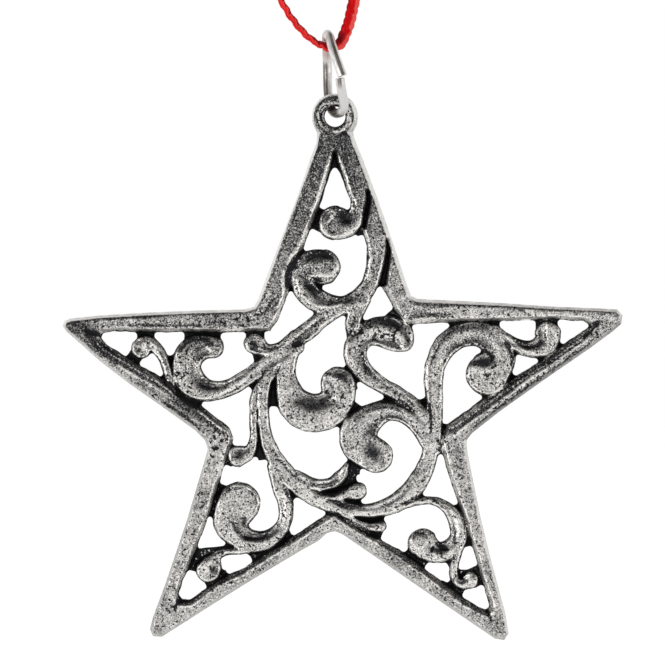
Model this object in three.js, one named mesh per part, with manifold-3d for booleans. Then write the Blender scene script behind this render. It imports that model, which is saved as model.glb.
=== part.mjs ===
// Star ornament: a cast openwork star that hangs by a split wire ring from a knotted loop of flat cord.
// Millimetres, +Z up, the star's front faces -Y. The origin is the crook of the cord loop, under its
// knot, where a hook or twig carries the whole ornament.
import * as THREE from "three";
import { mergeVertices } from "three/addons/utils/BufferGeometryUtils.js";
import Module from "manifold-3d";

// The star. Its outlines and scrolls were read by eye off the photograph, in the photograph's pixels,
// x to the right and y down. The span of the side points turns pixels into millimetres.
const SIDE_SPAN = 63.5;
const SIDE_SPAN_PIXELS = 560;
const EYE_CENTRE_PIXELS = [335, 116.5];
const FRAME_THICKNESS = 2.2;
const FRAME_SHOULDER = 0.9; // height of the upright wall, from which the sides slope to the front
const OUTER_DRAFT = 0.35;
const INNER_DRAFT = 0.6;
const SCROLL_HEIGHT = 1.95;
const BULB_HEIGHT = 2.15;
const WEB_HEIGHT = 0.8; // the sunken floor between touching scrolls
const GROOVE_OVERRUN = 1;
const STATION_STEP = 1; // length of one facet along a scroll
const EYE_RADIUS = 2.6;
const EYE_HOLE_RADIUS = 1.18;
const EYE_THICKNESS = 1.7;

// The ring: an oval of round wire, cut through at the front, its ends sprung a little apart.
const WIRE_DIAMETER = 1.1;
const RING_HEIGHT = 9.8;
const RING_WIDTH = 7;
const RING_YAW = 14; // degrees
const RING_LEAN = 6; // degrees, top to the left
const RING_CUT = 0.15;
const RING_SPRING = 0.4;
const EYE_CLEARANCE = 0.12;
const EYE_HANG_ANGLE = 236; // degrees, from the wire to the middle of the eye
const CORD_CLEARANCE = 0.3;
const RING_OFFSET = -0.17; // sideways from the lowest point of the cord

// The cord: a flat braid in a loop about 50 mm long, knotted above the hook that carries it.
const CORD_WIDTH = 1.4;
const CORD_THICKNESS = 0.8;
const CORD_STEP = 2;
const KNOT_WIDTH = 4.4;
const KNOT_HEIGHT = 4.2;
const KNOT_CLEARANCE = 0.3;
const WRAP_TILT = 16; // degrees
const cordRoute = [
  [-0.62, 0, 1],
  [-0.9, 0, -0.8],
  [-3.2, 0, -5],
  [-7.2, 0, -13],
  [-10, 0, -22],
  [-10.7, 0, -31],
  [-9.2, 0, -38.8],
  [-6.15, 0, -44.6],
  [-5.03, 0, -46.5],
  [-3.35, 0, -48.5],
  [-2.1, 0, -49.45],
  [-0.45, 0, -50],
  [0.55, 0, -49.6],
  [1.1, 0, -48.5],
  [1.6, 0, -47.2],
  [2.2, 0, -44.6],
  [3.9, 0, -38.8],
  [5.6, 0, -31],
  [6.2, 0, -22],
  [5, 0, -13],
  [2.5, 0, -5],
  [0.9, 0, -0.8],
  [0.62, 0, 1],
];
const cordSeat = cordRoute[11];
const tailRoutes = [
  [
    [-0.5, 0, 4],
    [-1.1, -0.2, 6.6],
    [-2.3, -0.5, 9.4],
    [-3.1, -0.6, 12.4],
  ],
  [
    [0.5, 0, 4],
    [1, 0.2, 6.4],
    [1.6, 0.6, 9],
    [2.6, 0.9, 11.4],
  ],
];

// Outlines of the star's bars at the back, and of the one opening that they frame.
const outerPixels = [
  [322, 130], [317.5, 134], [316.5, 143], [310, 160], [297.5, 197], [277, 250], [258, 300],
  [254, 307], [245, 309.5], [200, 310.5], [150, 312.5], [100, 315.5], [71, 318.5], [64.5, 321],
  [63, 325.5], [66, 331], [80, 343], [100, 361], [130, 384], [160, 405], [195, 430], [205, 440],
  [208, 448], [203, 466], [187, 520], [165, 585], [153, 617], [150, 629], [153, 636], [162, 636.5],
  [185, 622], [213, 604], [250, 581], [275, 566], [300, 551], [318, 541], [327, 533], [335, 531],
  [343, 534.5], [378, 558.5], [428, 593], [478, 627], [495, 638.5], [504, 640], [508.5, 633], [505, 612],
  [491, 560], [480, 515], [467, 450], [466.5, 440], [472, 433], [500, 411], [545, 379], [590, 348],
  [613, 331], [621, 324], [622.5, 315.5], [617, 309.5], [600, 308.5], [550, 306.5], [500, 303],
  [450, 300.5], [418, 299], [411, 296], [405, 280], [396, 252], [378, 200], [363, 160], [356, 143],
  [353, 134], [348, 130],
];
const innerPixels = [
  [335, 164], [329, 176], [321, 202], [311, 228], [303, 250], [290, 285], [277, 320], [270, 331],
  [218, 332.5], [152, 332], [112, 331.5], [103, 333], [100.5, 337], [106, 344], [122, 354],
  [140, 365.5], [164, 379], [180, 392], [200, 405], [229, 428], [233.5, 438], [226, 462],
  [212, 510], [198, 548], [182, 583], [178.5, 594], [181, 600], [190, 600], [205, 589], [222, 578],
  [244, 568], [262, 556], [280, 545], [315, 522], [333, 510], [360, 527], [400, 551], [440, 580],
  [462, 597], [479, 608],
  [487, 610.5], [490, 606], [483, 585], [472, 548], [457, 504], [444, 462], [440, 441], [446, 425],
  [480, 401], [515, 377], [540, 361], [562, 345], [585, 330], [590, 325], [584, 321.5],
  [565, 319.5], [533, 320.5], [450, 322], [405, 325], [396, 310], [382, 284], [362, 232],
  [347, 190], [340, 173],
];
// Narrow grooves that part the frame from the strands that leave it: two ends and half a width.
const groovePixels = [
  [368, 191, 365, 226, 2],
  [389, 243, 385, 284, 2],
];

// Scrolls: the middle line of each band and its half width, then the bulb that ends it.
const scrolls = {
  topCurlPixels: {
    line: [[355, 182, 8], [358, 200, 7.5], [356, 214, 8.5], [348, 223, 11.5]],
    bulb: [335.5, 223, 17.5],
  },
  upperScrollPixels: {
    line: [
      [372, 206, 6], [376, 226, 8], [376, 250, 9.5], [374, 270, 8.5], [368, 287, 9],
      [356, 300, 9.5], [340, 306, 10], [322, 302, 11.5], [307, 291, 12], [301, 277, 11],
      [307, 265, 11.5],
    ],
    bulb: [322.5, 267, 18],
  },
  budPixels: {
    line: [[362, 298, 9], [356, 312, 8.5], [352, 324, 7], [351, 331, 4]],
  },
  rightCurlPixels: {
    line: [
      [434, 448, 8], [428, 427, 8], [415, 407, 8], [398, 394, 7.5], [381, 384.5, 8],
      [364, 371.5, 9.5], [355.8, 358, 10.7], [357, 345, 11], [367, 334, 12.5], [380, 331, 15],
    ],
    bulb: [395, 334, 18.5],
  },
  middleScrollPixels: {
    line: [
      [297, 338, 9], [290, 352, 9.5], [286.5, 370, 9.5], [289, 388, 12], [297, 403, 17.5],
      [313, 411, 19.5], [330, 406, 19], [338, 395, 17.5],
    ],
    bulb: [338.5, 384, 17],
  },
  lowerScrollPixels: {
    line: [
      [428, 442, 8], [418, 426, 8.5], [404, 414, 9.5], [388, 410, 10.5], [372, 417, 13.5],
      [361, 430, 18], [362, 442, 17.5],
    ],
    bulb: [376, 456, 17],
  },
  rightScrollPixels: {
    line: [
      [433, 448, 8], [434, 425, 8.5], [434.2, 400, 8.5], [433.3, 380, 9.5], [437, 361, 10.5],
      [447, 344, 12], [462, 335.5, 12], [478, 334, 12.5], [493, 341, 14.5], [499.5, 357, 16],
    ],
    bulb: [487.5, 374, 21.5],
  },
  rightHookPixels: {
    line: [[494, 330, 6], [505, 338, 6], [518, 346, 7], [532, 349, 9], [544, 345, 12], [548, 338, 12.5]],
    bulb: [548, 334, 13],
  },
  leftHookPixels: {
    line: [[172, 392, 5], [168.5, 374, 4.8], [163, 358, 5], [154, 346, 6.5], [145, 344, 8.5]],
    bulb: [141.5, 348, 10.5],
  },
  leftScrollPixels: {
    line: [
      [296, 346, 9], [275, 359, 9], [257, 371, 8.5], [240, 382, 8.5], [222, 390, 9],
      [205, 390, 11.5], [191, 381, 15], [186, 366, 14.5], [192, 352, 15], [204, 347, 12.5],
    ],
    bulb: [213, 347.5, 11],
  },
  innerHookPixels: {
    line: [[338, 308, 9], [322, 319, 8.5], [309, 330, 9], [294, 341, 9], [279, 349, 6.5], [266, 350, 6.5]],
    bulb: [254.5, 343.5, 10.5],
  },
  cornerHookPixels: {
    line: [[272, 372, 7], [259, 388, 6], [254.5, 405, 5], [254, 425, 4.2], [254, 440, 5], [249, 452, 7]],
    bulb: [238.5, 456, 10.8],
  },
  sweepPixels: {
    line: [
      [268, 372, 7], [263.5, 392, 6.5], [263, 412, 6], [264.5, 430, 6.5], [270, 449, 7.5],
      [280, 466, 9], [293, 481, 9.5], [309, 494, 9], [327, 503, 8.5], [346, 508, 7.5],
      [366, 511, 7], [385, 507.5, 8.5], [401, 500, 10], [415, 486, 10.5], [425, 469, 9],
      [430, 453, 8], [433, 436, 8],
    ],
  },
  upperLeafPixels: {
    line: [[296, 478, 8], [312, 484, 6], [328, 484.5, 6], [340, 478, 6.5], [346, 468, 2.5]],
  },
  middleLeafPixels: {
    line: [[316, 496, 5], [334, 497, 4.5], [348, 493, 6.5]],
    bulb: [357.5, 491, 9],
  },
  lowerLeafPixels: {
    line: [[342, 512, 5], [356, 522, 4], [370, 527, 5]],
    bulb: [380, 526, 6.5],
  },
  footScrollPixels: {
    line: [
      [277, 474, 6], [282, 488, 7], [286.8, 504, 6.8], [284.5, 522, 7.3], [274, 536, 9],
      [258, 542, 11], [242, 537.5, 12.5], [231, 524, 16],
    ],
    bulb: [241, 502.5, 20.5],
  },
  footHookPixels: {
    line: [[248, 549, 5], [230, 551, 4], [217, 556, 5]],
    bulb: [209, 570, 12.8],
  },
  heelScrollPixels: {
    line: [
      [396, 505, 6], [414, 502, 4.5], [431, 500.5, 4], [447, 507.5, 6], [456.5, 520, 8.3],
      [459, 535, 8.8], [453, 547, 10], [441, 552.5, 10.5], [429, 550, 12],
    ],
    bulb: [423.2, 544, 15.5],
  },
  heelHookPixels: {
    line: [[456, 552, 6], [454, 566, 4.5], [455, 579, 5], [461, 584, 5.5]],
    bulb: [470, 580, 8.5],
  },
};

// Webs: the low floors that tie scrolls to each other and to the frame: two ends and half a width.
const webPixels = [
  [310, 215, 324, 222, 11], [356, 231, 370, 226, 6], [291, 288, 303, 256, 9],
  [246, 334, 264, 334, 9], [184, 334, 220, 336, 8], [137, 334, 154, 334, 8],
  [128, 354, 140, 362, 5], [170, 356, 196, 402, 8], [162, 380, 190, 402, 6],
  [224, 464, 234, 440, 8], [259, 416, 263, 460, 5], [250, 388, 268, 378, 6],
  [280, 366, 273, 406, 7], [254, 360, 278, 354, 5], [290, 345, 306, 345, 6],
  [346, 334, 366, 330, 6], [390, 312, 406, 330, 6], [347, 368, 354, 390, 4],
  [344, 424, 358, 404, 8], [386, 400, 414, 410, 8], [421, 399, 430, 434, 5],
  [450, 326, 500, 326, 8], [508, 346, 511, 384, 6], [490, 394, 516, 378, 6],
  [536, 323, 558, 323, 7], [542, 358, 564, 350, 7], [446, 424, 438, 450, 7],
  [404, 504, 423, 498, 4.5], [458, 504, 470, 546, 5], [406, 552, 424, 568, 7],
  [446, 562, 456, 556, 5], [440, 586, 462, 596, 6], [472, 568, 480, 586, 5],
  [457, 577, 474, 577, 7], [326, 514, 382, 536, 6], [316, 490, 352, 486, 6],
  [330, 502, 360, 502, 5], [352, 520, 384, 520, 6], [352, 464, 354, 484, 7],
  [284, 482, 292, 500, 5], [220, 484, 210, 516, 6], [232, 545, 240, 550, 7],
  [198, 553, 236, 549, 4], [194, 552, 190, 570, 6], [206, 586, 228, 576, 6],
  [250, 556, 292, 536, 7],
];

// Section of a band and of a bulb, as shares of the half width and of the height.
const bandShares = [[-1, 0], [1, 0], [1, 0.55], [0.62, 0.9], [0, 1], [-0.62, 0.9], [-1, 0.55]];
const bulbShares = [[1, 0], [1, 0.55], [0.8, 0.86], [0.42, 1]];
const SURFACE_TOLERANCE = 0.01;
const BULB_SIDES = 16;
const EYE_SIDES = 28;
const EYE_SECTION_SIDES = 10;
const WIRE_SIDES = 10;
const WIRE_STEPS = 44;
const CORD_SIDES = 8;

const wasm = await Module();
wasm.setup();
const scale = SIDE_SPAN / SIDE_SPAN_PIXELS;
const radians = THREE.MathUtils.degToRad;

// Star places are taken in its own plane: right, up, and out from its flat back.
const spot = ([x, y]) => [(x - EYE_CENTRE_PIXELS[0]) * scale, (EYE_CENTRE_PIXELS[1] - y) * scale];

function solid(geometry) {
  const bare = geometry.clone();
  bare.deleteAttribute("normal");
  bare.deleteAttribute("uv");
  const merged = mergeVertices(bare);
  return new wasm.Manifold(
    new wasm.Mesh({
      numProp: 3,
      vertProperties: new Float32Array(merged.attributes.position.array),
      triVerts: new Uint32Array(merged.index.array),
    }),
  );
}

function geometryOf(manifold) {
  const mesh = manifold.simplify(SURFACE_TOLERANCE).getMesh();
  return new THREE.BufferGeometry()
    .setAttribute("position", new THREE.BufferAttribute(mesh.vertProperties, 3))
    .setIndex(new THREE.BufferAttribute(mesh.triVerts, 1));
}

// Joins rings of places, each ring counter-clockwise as seen from the last one, into a closed body.
function loft(levels, capFaces) {
  const places = levels.flat(2);
  const faces = [];
  const perLevel = levels[0].flat().length;
  levels.slice(1).forEach((level, i) => {
    let start = i * perLevel;
    level.forEach((ring) => {
      ring.forEach((place, j) => {
        const a = start + j;
        const b = start + ((j + 1) % ring.length);
        faces.push(a, b, b + perLevel, a, b + perLevel, a + perLevel);
      });
      start += ring.length;
    });
  });
  const last = (levels.length - 1) * perLevel;
  capFaces(levels[0]).forEach(([a, b, c]) => faces.push(a, c, b));
  capFaces(levels[levels.length - 1]).forEach(([a, b, c]) => faces.push(last + a, last + b, last + c));
  return solid(
    new THREE.BufferGeometry()
      .setAttribute("position", new THREE.Float32BufferAttribute(places.flat(), 3))
      .setIndex(faces),
  );
}

const fan = ([ring]) => ring.slice(2).map((place, i) => [0, i + 1, i + 2]);

const flatCap = ([outer, ...holes]) =>
  THREE.ShapeUtils.triangulateShape(
    outer.map(([x, y]) => new THREE.Vector2(x, y)),
    holes.map((hole) => hole.map(([x, y]) => new THREE.Vector2(x, y))),
  );

// Moves an outline towards its left side, where the metal is.
function inset(outline, distance) {
  return outline.map(([x, y], i) => {
    const [x0, y0] = outline[(i + outline.length - 1) % outline.length];
    const [x1, y1] = outline[(i + 1) % outline.length];
    const before = new THREE.Vector2(y0 - y, x - x0).normalize();
    const after = new THREE.Vector2(y - y1, x1 - x).normalize();
    const share = 1 / (1 + before.dot(after));
    return [x + (before.x + after.x) * share * distance, y + (before.y + after.y) * share * distance];
  });
}

function frame() {
  const outer = outerPixels.map(spot);
  const inner = innerPixels.map(spot);
  if (!THREE.ShapeUtils.isClockWise(inner.map(([x, y]) => new THREE.Vector2(x, y)))) inner.reverse();
  if (THREE.ShapeUtils.isClockWise(outer.map(([x, y]) => new THREE.Vector2(x, y)))) outer.reverse();
  const level = (height, draftShare) => [
    inset(outer, OUTER_DRAFT * draftShare).map((place) => [...place, height]),
    inset(inner, INNER_DRAFT * draftShare).map((place) => [...place, height]),
  ];
  return loft([level(0, 0), level(FRAME_SHOULDER, 0), level(FRAME_THICKNESS, 1)], flatCap);
}

function band(line, height) {
  const path = new THREE.CatmullRomCurve3(
    line.map(([x, y, half]) => new THREE.Vector3(...spot([x, y]), half * scale)),
    false,
    "centripetal",
  );
  const count = Math.ceil(path.getLength() / STATION_STEP);
  const rings = Array.from({ length: count + 1 }, (_, i) => {
    const at = path.getPointAt(i / count);
    const ahead = path.getTangentAt(i / count);
    const side = new THREE.Vector2(-ahead.y, ahead.x).normalize().multiplyScalar(at.z);
    return [bandShares.map(([across, up]) => [at.x + side.x * across, at.y + side.y * across, up * height])];
  });
  return loft(rings, fan);
}

function bulb([x, y, radius], height) {
  const [u, v] = spot([x, y]);
  const rings = bulbShares.map(([out, up]) => [
    Array.from({ length: BULB_SIDES }, (_, i) => {
      const turn = (2 * Math.PI * i) / BULB_SIDES;
      const reach = radius * scale * out;
      return [u + reach * Math.cos(turn), v + reach * Math.sin(turn), up * height];
    }),
  ]);
  return loft(rings, fan);
}

// A straight low block between two places, from one height to another.
function block([x0, y0, x1, y1, half], low, high) {
  const from = new THREE.Vector2(...spot([x0, y0]));
  const to = new THREE.Vector2(...spot([x1, y1]));
  const ahead = to.clone().sub(from).normalize();
  const side = new THREE.Vector2(-ahead.y, ahead.x).multiplyScalar(half * scale);
  const corners = [
    [from.x - side.x, from.y - side.y],
    [to.x - side.x, to.y - side.y],
    [to.x + side.x, to.y + side.y],
    [from.x + side.x, from.y + side.y],
  ];
  return loft(
    [low, high].map((height) => [corners.map((corner) => [...corner, height])]),
    fan,
  );
}

function eye() {
  const wall = (EYE_RADIUS - EYE_HOLE_RADIUS) / 2;
  return solid(
    new THREE.TorusGeometry(EYE_HOLE_RADIUS + wall, wall, EYE_SECTION_SIDES, EYE_SIDES)
      .scale(1, 1, EYE_THICKNESS / 2 / wall)
      .translate(0, 0, FRAME_THICKNESS / 2),
  );
}

function starCasting() {
  let casting = frame();
  for (const groove of groovePixels)
    casting = casting.subtract(block(groove, WEB_HEIGHT, FRAME_THICKNESS + GROOVE_OVERRUN));
  for (const web of webPixels) casting = casting.add(block(web, 0, WEB_HEIGHT));
  for (const { line, bulb: end } of Object.values(scrolls)) {
    casting = casting.add(band(end ? [...line, end] : line, SCROLL_HEIGHT));
    if (end) casting = casting.add(bulb(end, BULB_HEIGHT));
  }
  return geometryOf(casting.add(eye())).translate(0, 0, -FRAME_THICKNESS / 2).rotateX(Math.PI / 2);
}

// The wire's middle line, from one cut end round to the other, in a plane that faces +X.
class WireLoop extends THREE.Curve {
  getPoint(t, target = new THREE.Vector3()) {
    const half = (RING_HEIGHT - WIRE_DIAMETER) / 2;
    const depth = (RING_WIDTH - WIRE_DIAMETER) / 2;
    const cut = RING_CUT / 2 / half;
    const turn = cut + t * (2 * Math.PI - 2 * cut);
    return target.set(RING_SPRING / 2 - t * RING_SPRING, -depth * Math.cos(turn), half * Math.sin(turn));
  }
}

const roundShape = (sides, width, thickness) =>
  new THREE.Shape(
    Array.from({ length: sides }, (_, i) => {
      const turn = (2 * Math.PI * (i + 1 / 2)) / sides;
      return new THREE.Vector2((width / 2) * Math.cos(turn), (thickness / 2) * Math.sin(turn));
    }),
  );

const tube = (shape, path, steps) =>
  new THREE.ExtrudeGeometry(shape, { steps, bevelEnabled: false, extrudePath: path });

const routeCurve = (route) =>
  new THREE.CatmullRomCurve3(
    route.map((place) => new THREE.Vector3(...place)),
    false,
    "centripetal",
  );

function cordTube(route) {
  const path = routeCurve(route);
  const steps = Math.ceil(path.getLength() / CORD_STEP);
  return tube(roundShape(CORD_SIDES, CORD_WIDTH, CORD_THICKNESS), path, steps);
}

// The knot: a rounded heart, two slanting turns of the cord round it, and the cord's two free tails.
function knot() {
  const middle = cordRoute[0][2] + KNOT_CLEARANCE + KNOT_HEIGHT / 2;
  const turnRadius = (KNOT_WIDTH - CORD_THICKNESS) / 2;
  let made = solid(
    new THREE.SphereGeometry(KNOT_HEIGHT / 2, CORD_SIDES * 2, CORD_SIDES)
      .rotateX(Math.PI / 2)
      .scale(turnRadius / (KNOT_HEIGHT / 2), turnRadius / (KNOT_HEIGHT / 2), 1)
      .translate(0, 0, middle),
  );
  for (const way of [1, -1])
    made = made.add(
      solid(
        new THREE.TorusGeometry(turnRadius, CORD_THICKNESS / 2, CORD_SIDES, CORD_SIDES * 2)
          .scale(1, 1, CORD_WIDTH / CORD_THICKNESS)
          .rotateY(way * radians(WRAP_TILT))
          .translate(0, 0, middle + (way * CORD_WIDTH) / 2),
      ),
    );
  for (const route of tailRoutes) made = made.add(solid(cordTube(route)));
  return geometryOf(made);
}

// Places that follow from what hangs on what: the ring on the cord, the star's eye on the wire.
const ringTop = new THREE.Vector3(
  cordSeat[0] + RING_OFFSET,
  0,
  cordSeat[2] + (CORD_THICKNESS + WIRE_DIAMETER) / 2 + CORD_CLEARANCE,
);
const ringUp = new THREE.Vector3(-Math.sin(radians(RING_LEAN)), 0, Math.cos(radians(RING_LEAN)));
const ringMiddle = ringTop.clone().addScaledVector(ringUp, -(RING_HEIGHT - WIRE_DIAMETER) / 2);
const ringBottom = ringTop.clone().addScaledVector(ringUp, -(RING_HEIGHT - WIRE_DIAMETER));
const eyeDrop = EYE_HOLE_RADIUS - WIRE_DIAMETER / 2 - EYE_CLEARANCE;
const eyeMiddle = ringBottom
  .clone()
  .add(
    new THREE.Vector3(
      eyeDrop * Math.cos(radians(EYE_HANG_ANGLE)),
      0,
      eyeDrop * Math.sin(radians(EYE_HANG_ANGLE)),
    ),
  );

const pewter = new THREE.MeshStandardMaterial({ color: 0x8d8b87, roughness: 0.45, metalness: 0.85 });
const silverWire = new THREE.MeshStandardMaterial({ color: 0xcfcfcc, roughness: 0.25, metalness: 1 });
const redBraid = new THREE.MeshStandardMaterial({ color: 0xb5121b, roughness: 0.6, metalness: 0 });

const ornament = new THREE.Group();

const star = new THREE.Mesh(starCasting(), pewter);
star.name = "star_casting";
star.position.copy(eyeMiddle);
ornament.add(star);

const ring = new THREE.Mesh(
  tube(roundShape(WIRE_SIDES, WIRE_DIAMETER, WIRE_DIAMETER), new WireLoop(), WIRE_STEPS),
  silverWire,
);
ring.name = "jump_ring";
ring.position.copy(ringMiddle);
ring.rotation.set(0, -radians(RING_LEAN), radians(RING_YAW));
ornament.add(ring);

const cord = new THREE.Mesh(cordTube(cordRoute), redBraid);
cord.name = "hanging_cord";
ornament.add(cord);

const cordKnot = new THREE.Mesh(knot(), redBraid);
cordKnot.name = "cord_knot";
ornament.add(cordKnot);

export default ornament;
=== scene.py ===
# Star ornament: a cast pewter star of open scrolls, its split wire ring and its loop of red plait.
# Metres, +Z up, the star's front faces -Y. The star's tables are in the photograph's pixels.
import math

import bmesh
import bpy
import numpy as np
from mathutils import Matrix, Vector


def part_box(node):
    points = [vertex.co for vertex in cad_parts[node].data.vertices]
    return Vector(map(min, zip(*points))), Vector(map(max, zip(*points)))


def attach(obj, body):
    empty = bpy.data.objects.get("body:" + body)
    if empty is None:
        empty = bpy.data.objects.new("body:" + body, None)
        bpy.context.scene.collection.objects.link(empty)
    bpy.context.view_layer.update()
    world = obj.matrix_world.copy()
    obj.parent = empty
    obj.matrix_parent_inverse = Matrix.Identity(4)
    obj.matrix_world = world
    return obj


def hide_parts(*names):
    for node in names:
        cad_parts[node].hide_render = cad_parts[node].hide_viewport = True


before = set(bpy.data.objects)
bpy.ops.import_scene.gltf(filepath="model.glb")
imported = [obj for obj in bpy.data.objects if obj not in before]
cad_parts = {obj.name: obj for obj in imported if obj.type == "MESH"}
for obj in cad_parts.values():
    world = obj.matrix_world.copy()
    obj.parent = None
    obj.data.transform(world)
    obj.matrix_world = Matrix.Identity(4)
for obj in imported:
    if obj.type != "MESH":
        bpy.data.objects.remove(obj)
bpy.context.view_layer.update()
MM = 0.001

# The photograph's view: a long lens looks straight at the star's front, level, with the star's eye
# at its place in the picture, so that a pixel is the same length all over the star.
IMAGE_PIXELS = 665
SIDE_SPAN = 63.5 * MM
SIDE_SPAN_PIXELS = 560
PIXEL = SIDE_SPAN / SIDE_SPAN_PIXELS
EYE_CENTRE_PIXELS = (335, 116.5)
LEFT_POINT_PIXELS = 63
EYE_RADIUS = 2.6 * MM
CAMERA_DISTANCE = 0.48
SENSOR_WIDTH = 36

star_low, star_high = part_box("star_casting")
eye_x = star_low.x + (EYE_CENTRE_PIXELS[0] - LEFT_POINT_PIXELS) * PIXEL
eye_z = star_high.z - EYE_RADIUS
view_x = eye_x + (IMAGE_PIXELS / 2 - EYE_CENTRE_PIXELS[0]) * PIXEL
view_z = eye_z - (IMAGE_PIXELS / 2 - EYE_CENTRE_PIXELS[1]) * PIXEL

scene = bpy.context.scene
scene.view_settings.view_transform = "Standard"


def put_in_scene(name, data):
    """A new object made of this camera, lamp or mesh."""
    made = bpy.data.objects.new(name, data)
    scene.collection.objects.link(made)
    return made


camera_data = bpy.data.cameras.new("camera")
camera_data.sensor_width = SENSOR_WIDTH
camera_data.lens = SENSOR_WIDTH * CAMERA_DISTANCE / (IMAGE_PIXELS * PIXEL)
camera = put_in_scene("camera", camera_data)
camera.location = (view_x, -CAMERA_DISTANCE, view_z)
camera.rotation_euler = (math.pi / 2, 0, 0)
scene.camera = camera

# The studio: a white table under the star and white paper beyond it, two soft lamps low at the sides,
# and a room that is darker overhead and where the camera stands, which the bright metal shows.
FLOOR_DROP = 0.09
FLOOR_SIZE = 8
TABLE_COLOUR = (0.9, 0.9, 0.9, 1)
TABLE_GLOW = 1.15
TABLE_GLOW_SHARE = 0.8
ROOM_COLOUR = (0.72, 0.72, 0.73, 1)
OVERHEAD_SHADE = 0.95
CAMERA_SIDE_SHADE = 0.26
PLAIN_WHITE = (1, 1, 1, 1)
LAMP_DISTANCE = 0.9
LAMP_SIZE = 0.5


class Socket:
    """A shader socket whose arithmetic adds Math nodes, so that a pattern reads as an expression."""

    def __init__(self, tree, link):
        self.tree, self.link = tree, link

    def math(self, operation, first, second):
        return add_node(self.tree, "ShaderNodeMath", {"operation": operation}, {0: first, 1: second})

    def __add__(self, other):
        return self.math("ADD", self, other)

    def __sub__(self, other):
        return self.math("SUBTRACT", self, other)

    def __rsub__(self, other):
        return self.math("SUBTRACT", other, self)

    def __mul__(self, other):
        return self.math("MULTIPLY", self, other)

    __radd__, __rmul__ = __add__, __mul__

    def lowest(self, other):
        return self.math("MINIMUM", self, other)

    def highest(self, other):
        return self.math("MAXIMUM", self, other)

    def sine(self):
        return self.math("SINE", self, 0.0)

    def step(self, low, high, start=0.0, end=1.0):
        """Runs smoothly from start to end as the value goes from low to high."""
        return add_node(
            self.tree,
            "ShaderNodeMapRange",
            {"interpolation_type": "SMOOTHSTEP"},
            {"Value": self, "From Min": low, "From Max": high, "To Min": start, "To Max": end},
        )

    def band(self, start, full, last, end):
        """1 where the value lies from full to last, falling smoothly to 0 at start and at end."""
        return self.step(start, full) * self.step(end, last)


def add_node(tree, kind, settings=None, inputs=None, output=0):
    """Adds a node: its settings first, a ramp's stops among them, then its inputs' values or links."""
    node = tree.nodes.new(kind)
    for name, value in (settings or {}).items():
        if name == "stops":
            while len(node.color_ramp.elements) < len(value):
                node.color_ramp.elements.new(1)
            for element, (place, colour) in zip(node.color_ramp.elements, value):
                element.position = place
                element.color = (*colour, 1)
        else:
            setattr(node, name, value)
    for name, value in (inputs or {}).items():
        if isinstance(value, Socket):
            tree.links.new(value.link, node.inputs[name])
        else:
            node.inputs[name].default_value = value
    return Socket(tree, node.outputs[output])


def new_material(name):
    """A material without nodes, and its tree."""
    material = bpy.data.materials.new(name)
    material.use_nodes = True
    material.node_tree.nodes.clear()
    return material, material.node_tree


def rays(tree):
    """Three masks: what the camera sees itself, what shiny metal shows and what is seen through glass."""
    kinds = ("Is Camera Ray", "Is Glossy Ray", "Is Transmission Ray")
    return [add_node(tree, "ShaderNodeLightPath", output=kind) for kind in kinds]


def finish(tree, shader, kind="ShaderNodeOutputMaterial"):
    """Ends a material or the world in its shader."""
    output = tree.nodes.new(kind)
    tree.links.new(shader.link, output.inputs["Surface"])


bpy.ops.object.select_all(action="DESELECT")
bpy.ops.mesh.primitive_plane_add(size=FLOOR_SIZE, location=(view_x, 0, star_low.z - FLOOR_DROP))
table_top = bpy.context.object
table_top.name = "table_top"
white_table, tree = new_material("white_table")
camera_ray, glossy_ray, clear_ray = rays(tree)
matt = add_node(tree, "ShaderNodeBsdfDiffuse", {}, {"Color": TABLE_COLOUR})
glow = add_node(tree, "ShaderNodeEmission", {}, {"Color": PLAIN_WHITE, "Strength": TABLE_GLOW})
seen = (camera_ray + glossy_ray + clear_ray).lowest(1)
lit = add_node(tree, "ShaderNodeMixShader", {}, {"Fac": seen * TABLE_GLOW_SHARE, 1: matt, 2: glow})
finish(tree, lit)
table_top.data.materials.append(white_table)

room = bpy.data.worlds.new("room")
scene.world = room
room.use_nodes = True
tree = room.node_tree
tree.nodes.clear()
camera_ray, glossy_ray, clear_ray = rays(tree)
direction = add_node(tree, "ShaderNodeTexCoord")
upward = add_node(tree, "ShaderNodeSeparateXYZ", {}, {"Vector": direction}, output="Z")
away = add_node(tree, "ShaderNodeSeparateXYZ", {}, {"Vector": direction}, output="Y")
overhead = (upward * 0.82 - away * 0.57).step(0.22, 0.5) * upward.step(0.05, 0.5)
behind_camera = away.step(-0.55, -0.95)
level = (1 - overhead * OVERHEAD_SHADE) * (1 - behind_camera * CAMERA_SIDE_SHADE)
grey = add_node(tree, "ShaderNodeCombineColor", {}, {"Red": level, "Green": level, "Blue": level})
paper = (camera_ray + clear_ray + glossy_ray * (1 - overhead.highest(behind_camera))).lowest(1)
soft, shown, white = [
    add_node(tree, "ShaderNodeBackground", {}, {"Color": colour, "Strength": 1.0})
    for colour in (ROOM_COLOUR, grey, PLAIN_WHITE)
]
light = add_node(tree, "ShaderNodeMixShader", {}, {"Fac": glossy_ray, 1: soft, 2: shown})
light = add_node(tree, "ShaderNodeMixShader", {}, {"Fac": paper, 1: light, 2: white})
finish(tree, light, "ShaderNodeOutputWorld")

for name, way, power in (
    ("lamp_right", (0.80, -0.50, -0.34), 3.6),
    ("lamp_left", (-0.80, -0.55, -0.10), 2.4),
):
    lamp_data = bpy.data.lights.new(name, "AREA")
    lamp_data.size = LAMP_SIZE
    lamp_data.energy = power
    lamp = put_in_scene(name, lamp_data)
    spot = np.array(way) / np.linalg.norm(way) * LAMP_DISTANCE + (view_x, 0, view_z)
    lamp.location = spot.tolist()
    lamp.rotation_euler = Vector(way).to_track_quat("Z", "Y").to_euler()
    lamp.visible_camera = False

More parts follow.
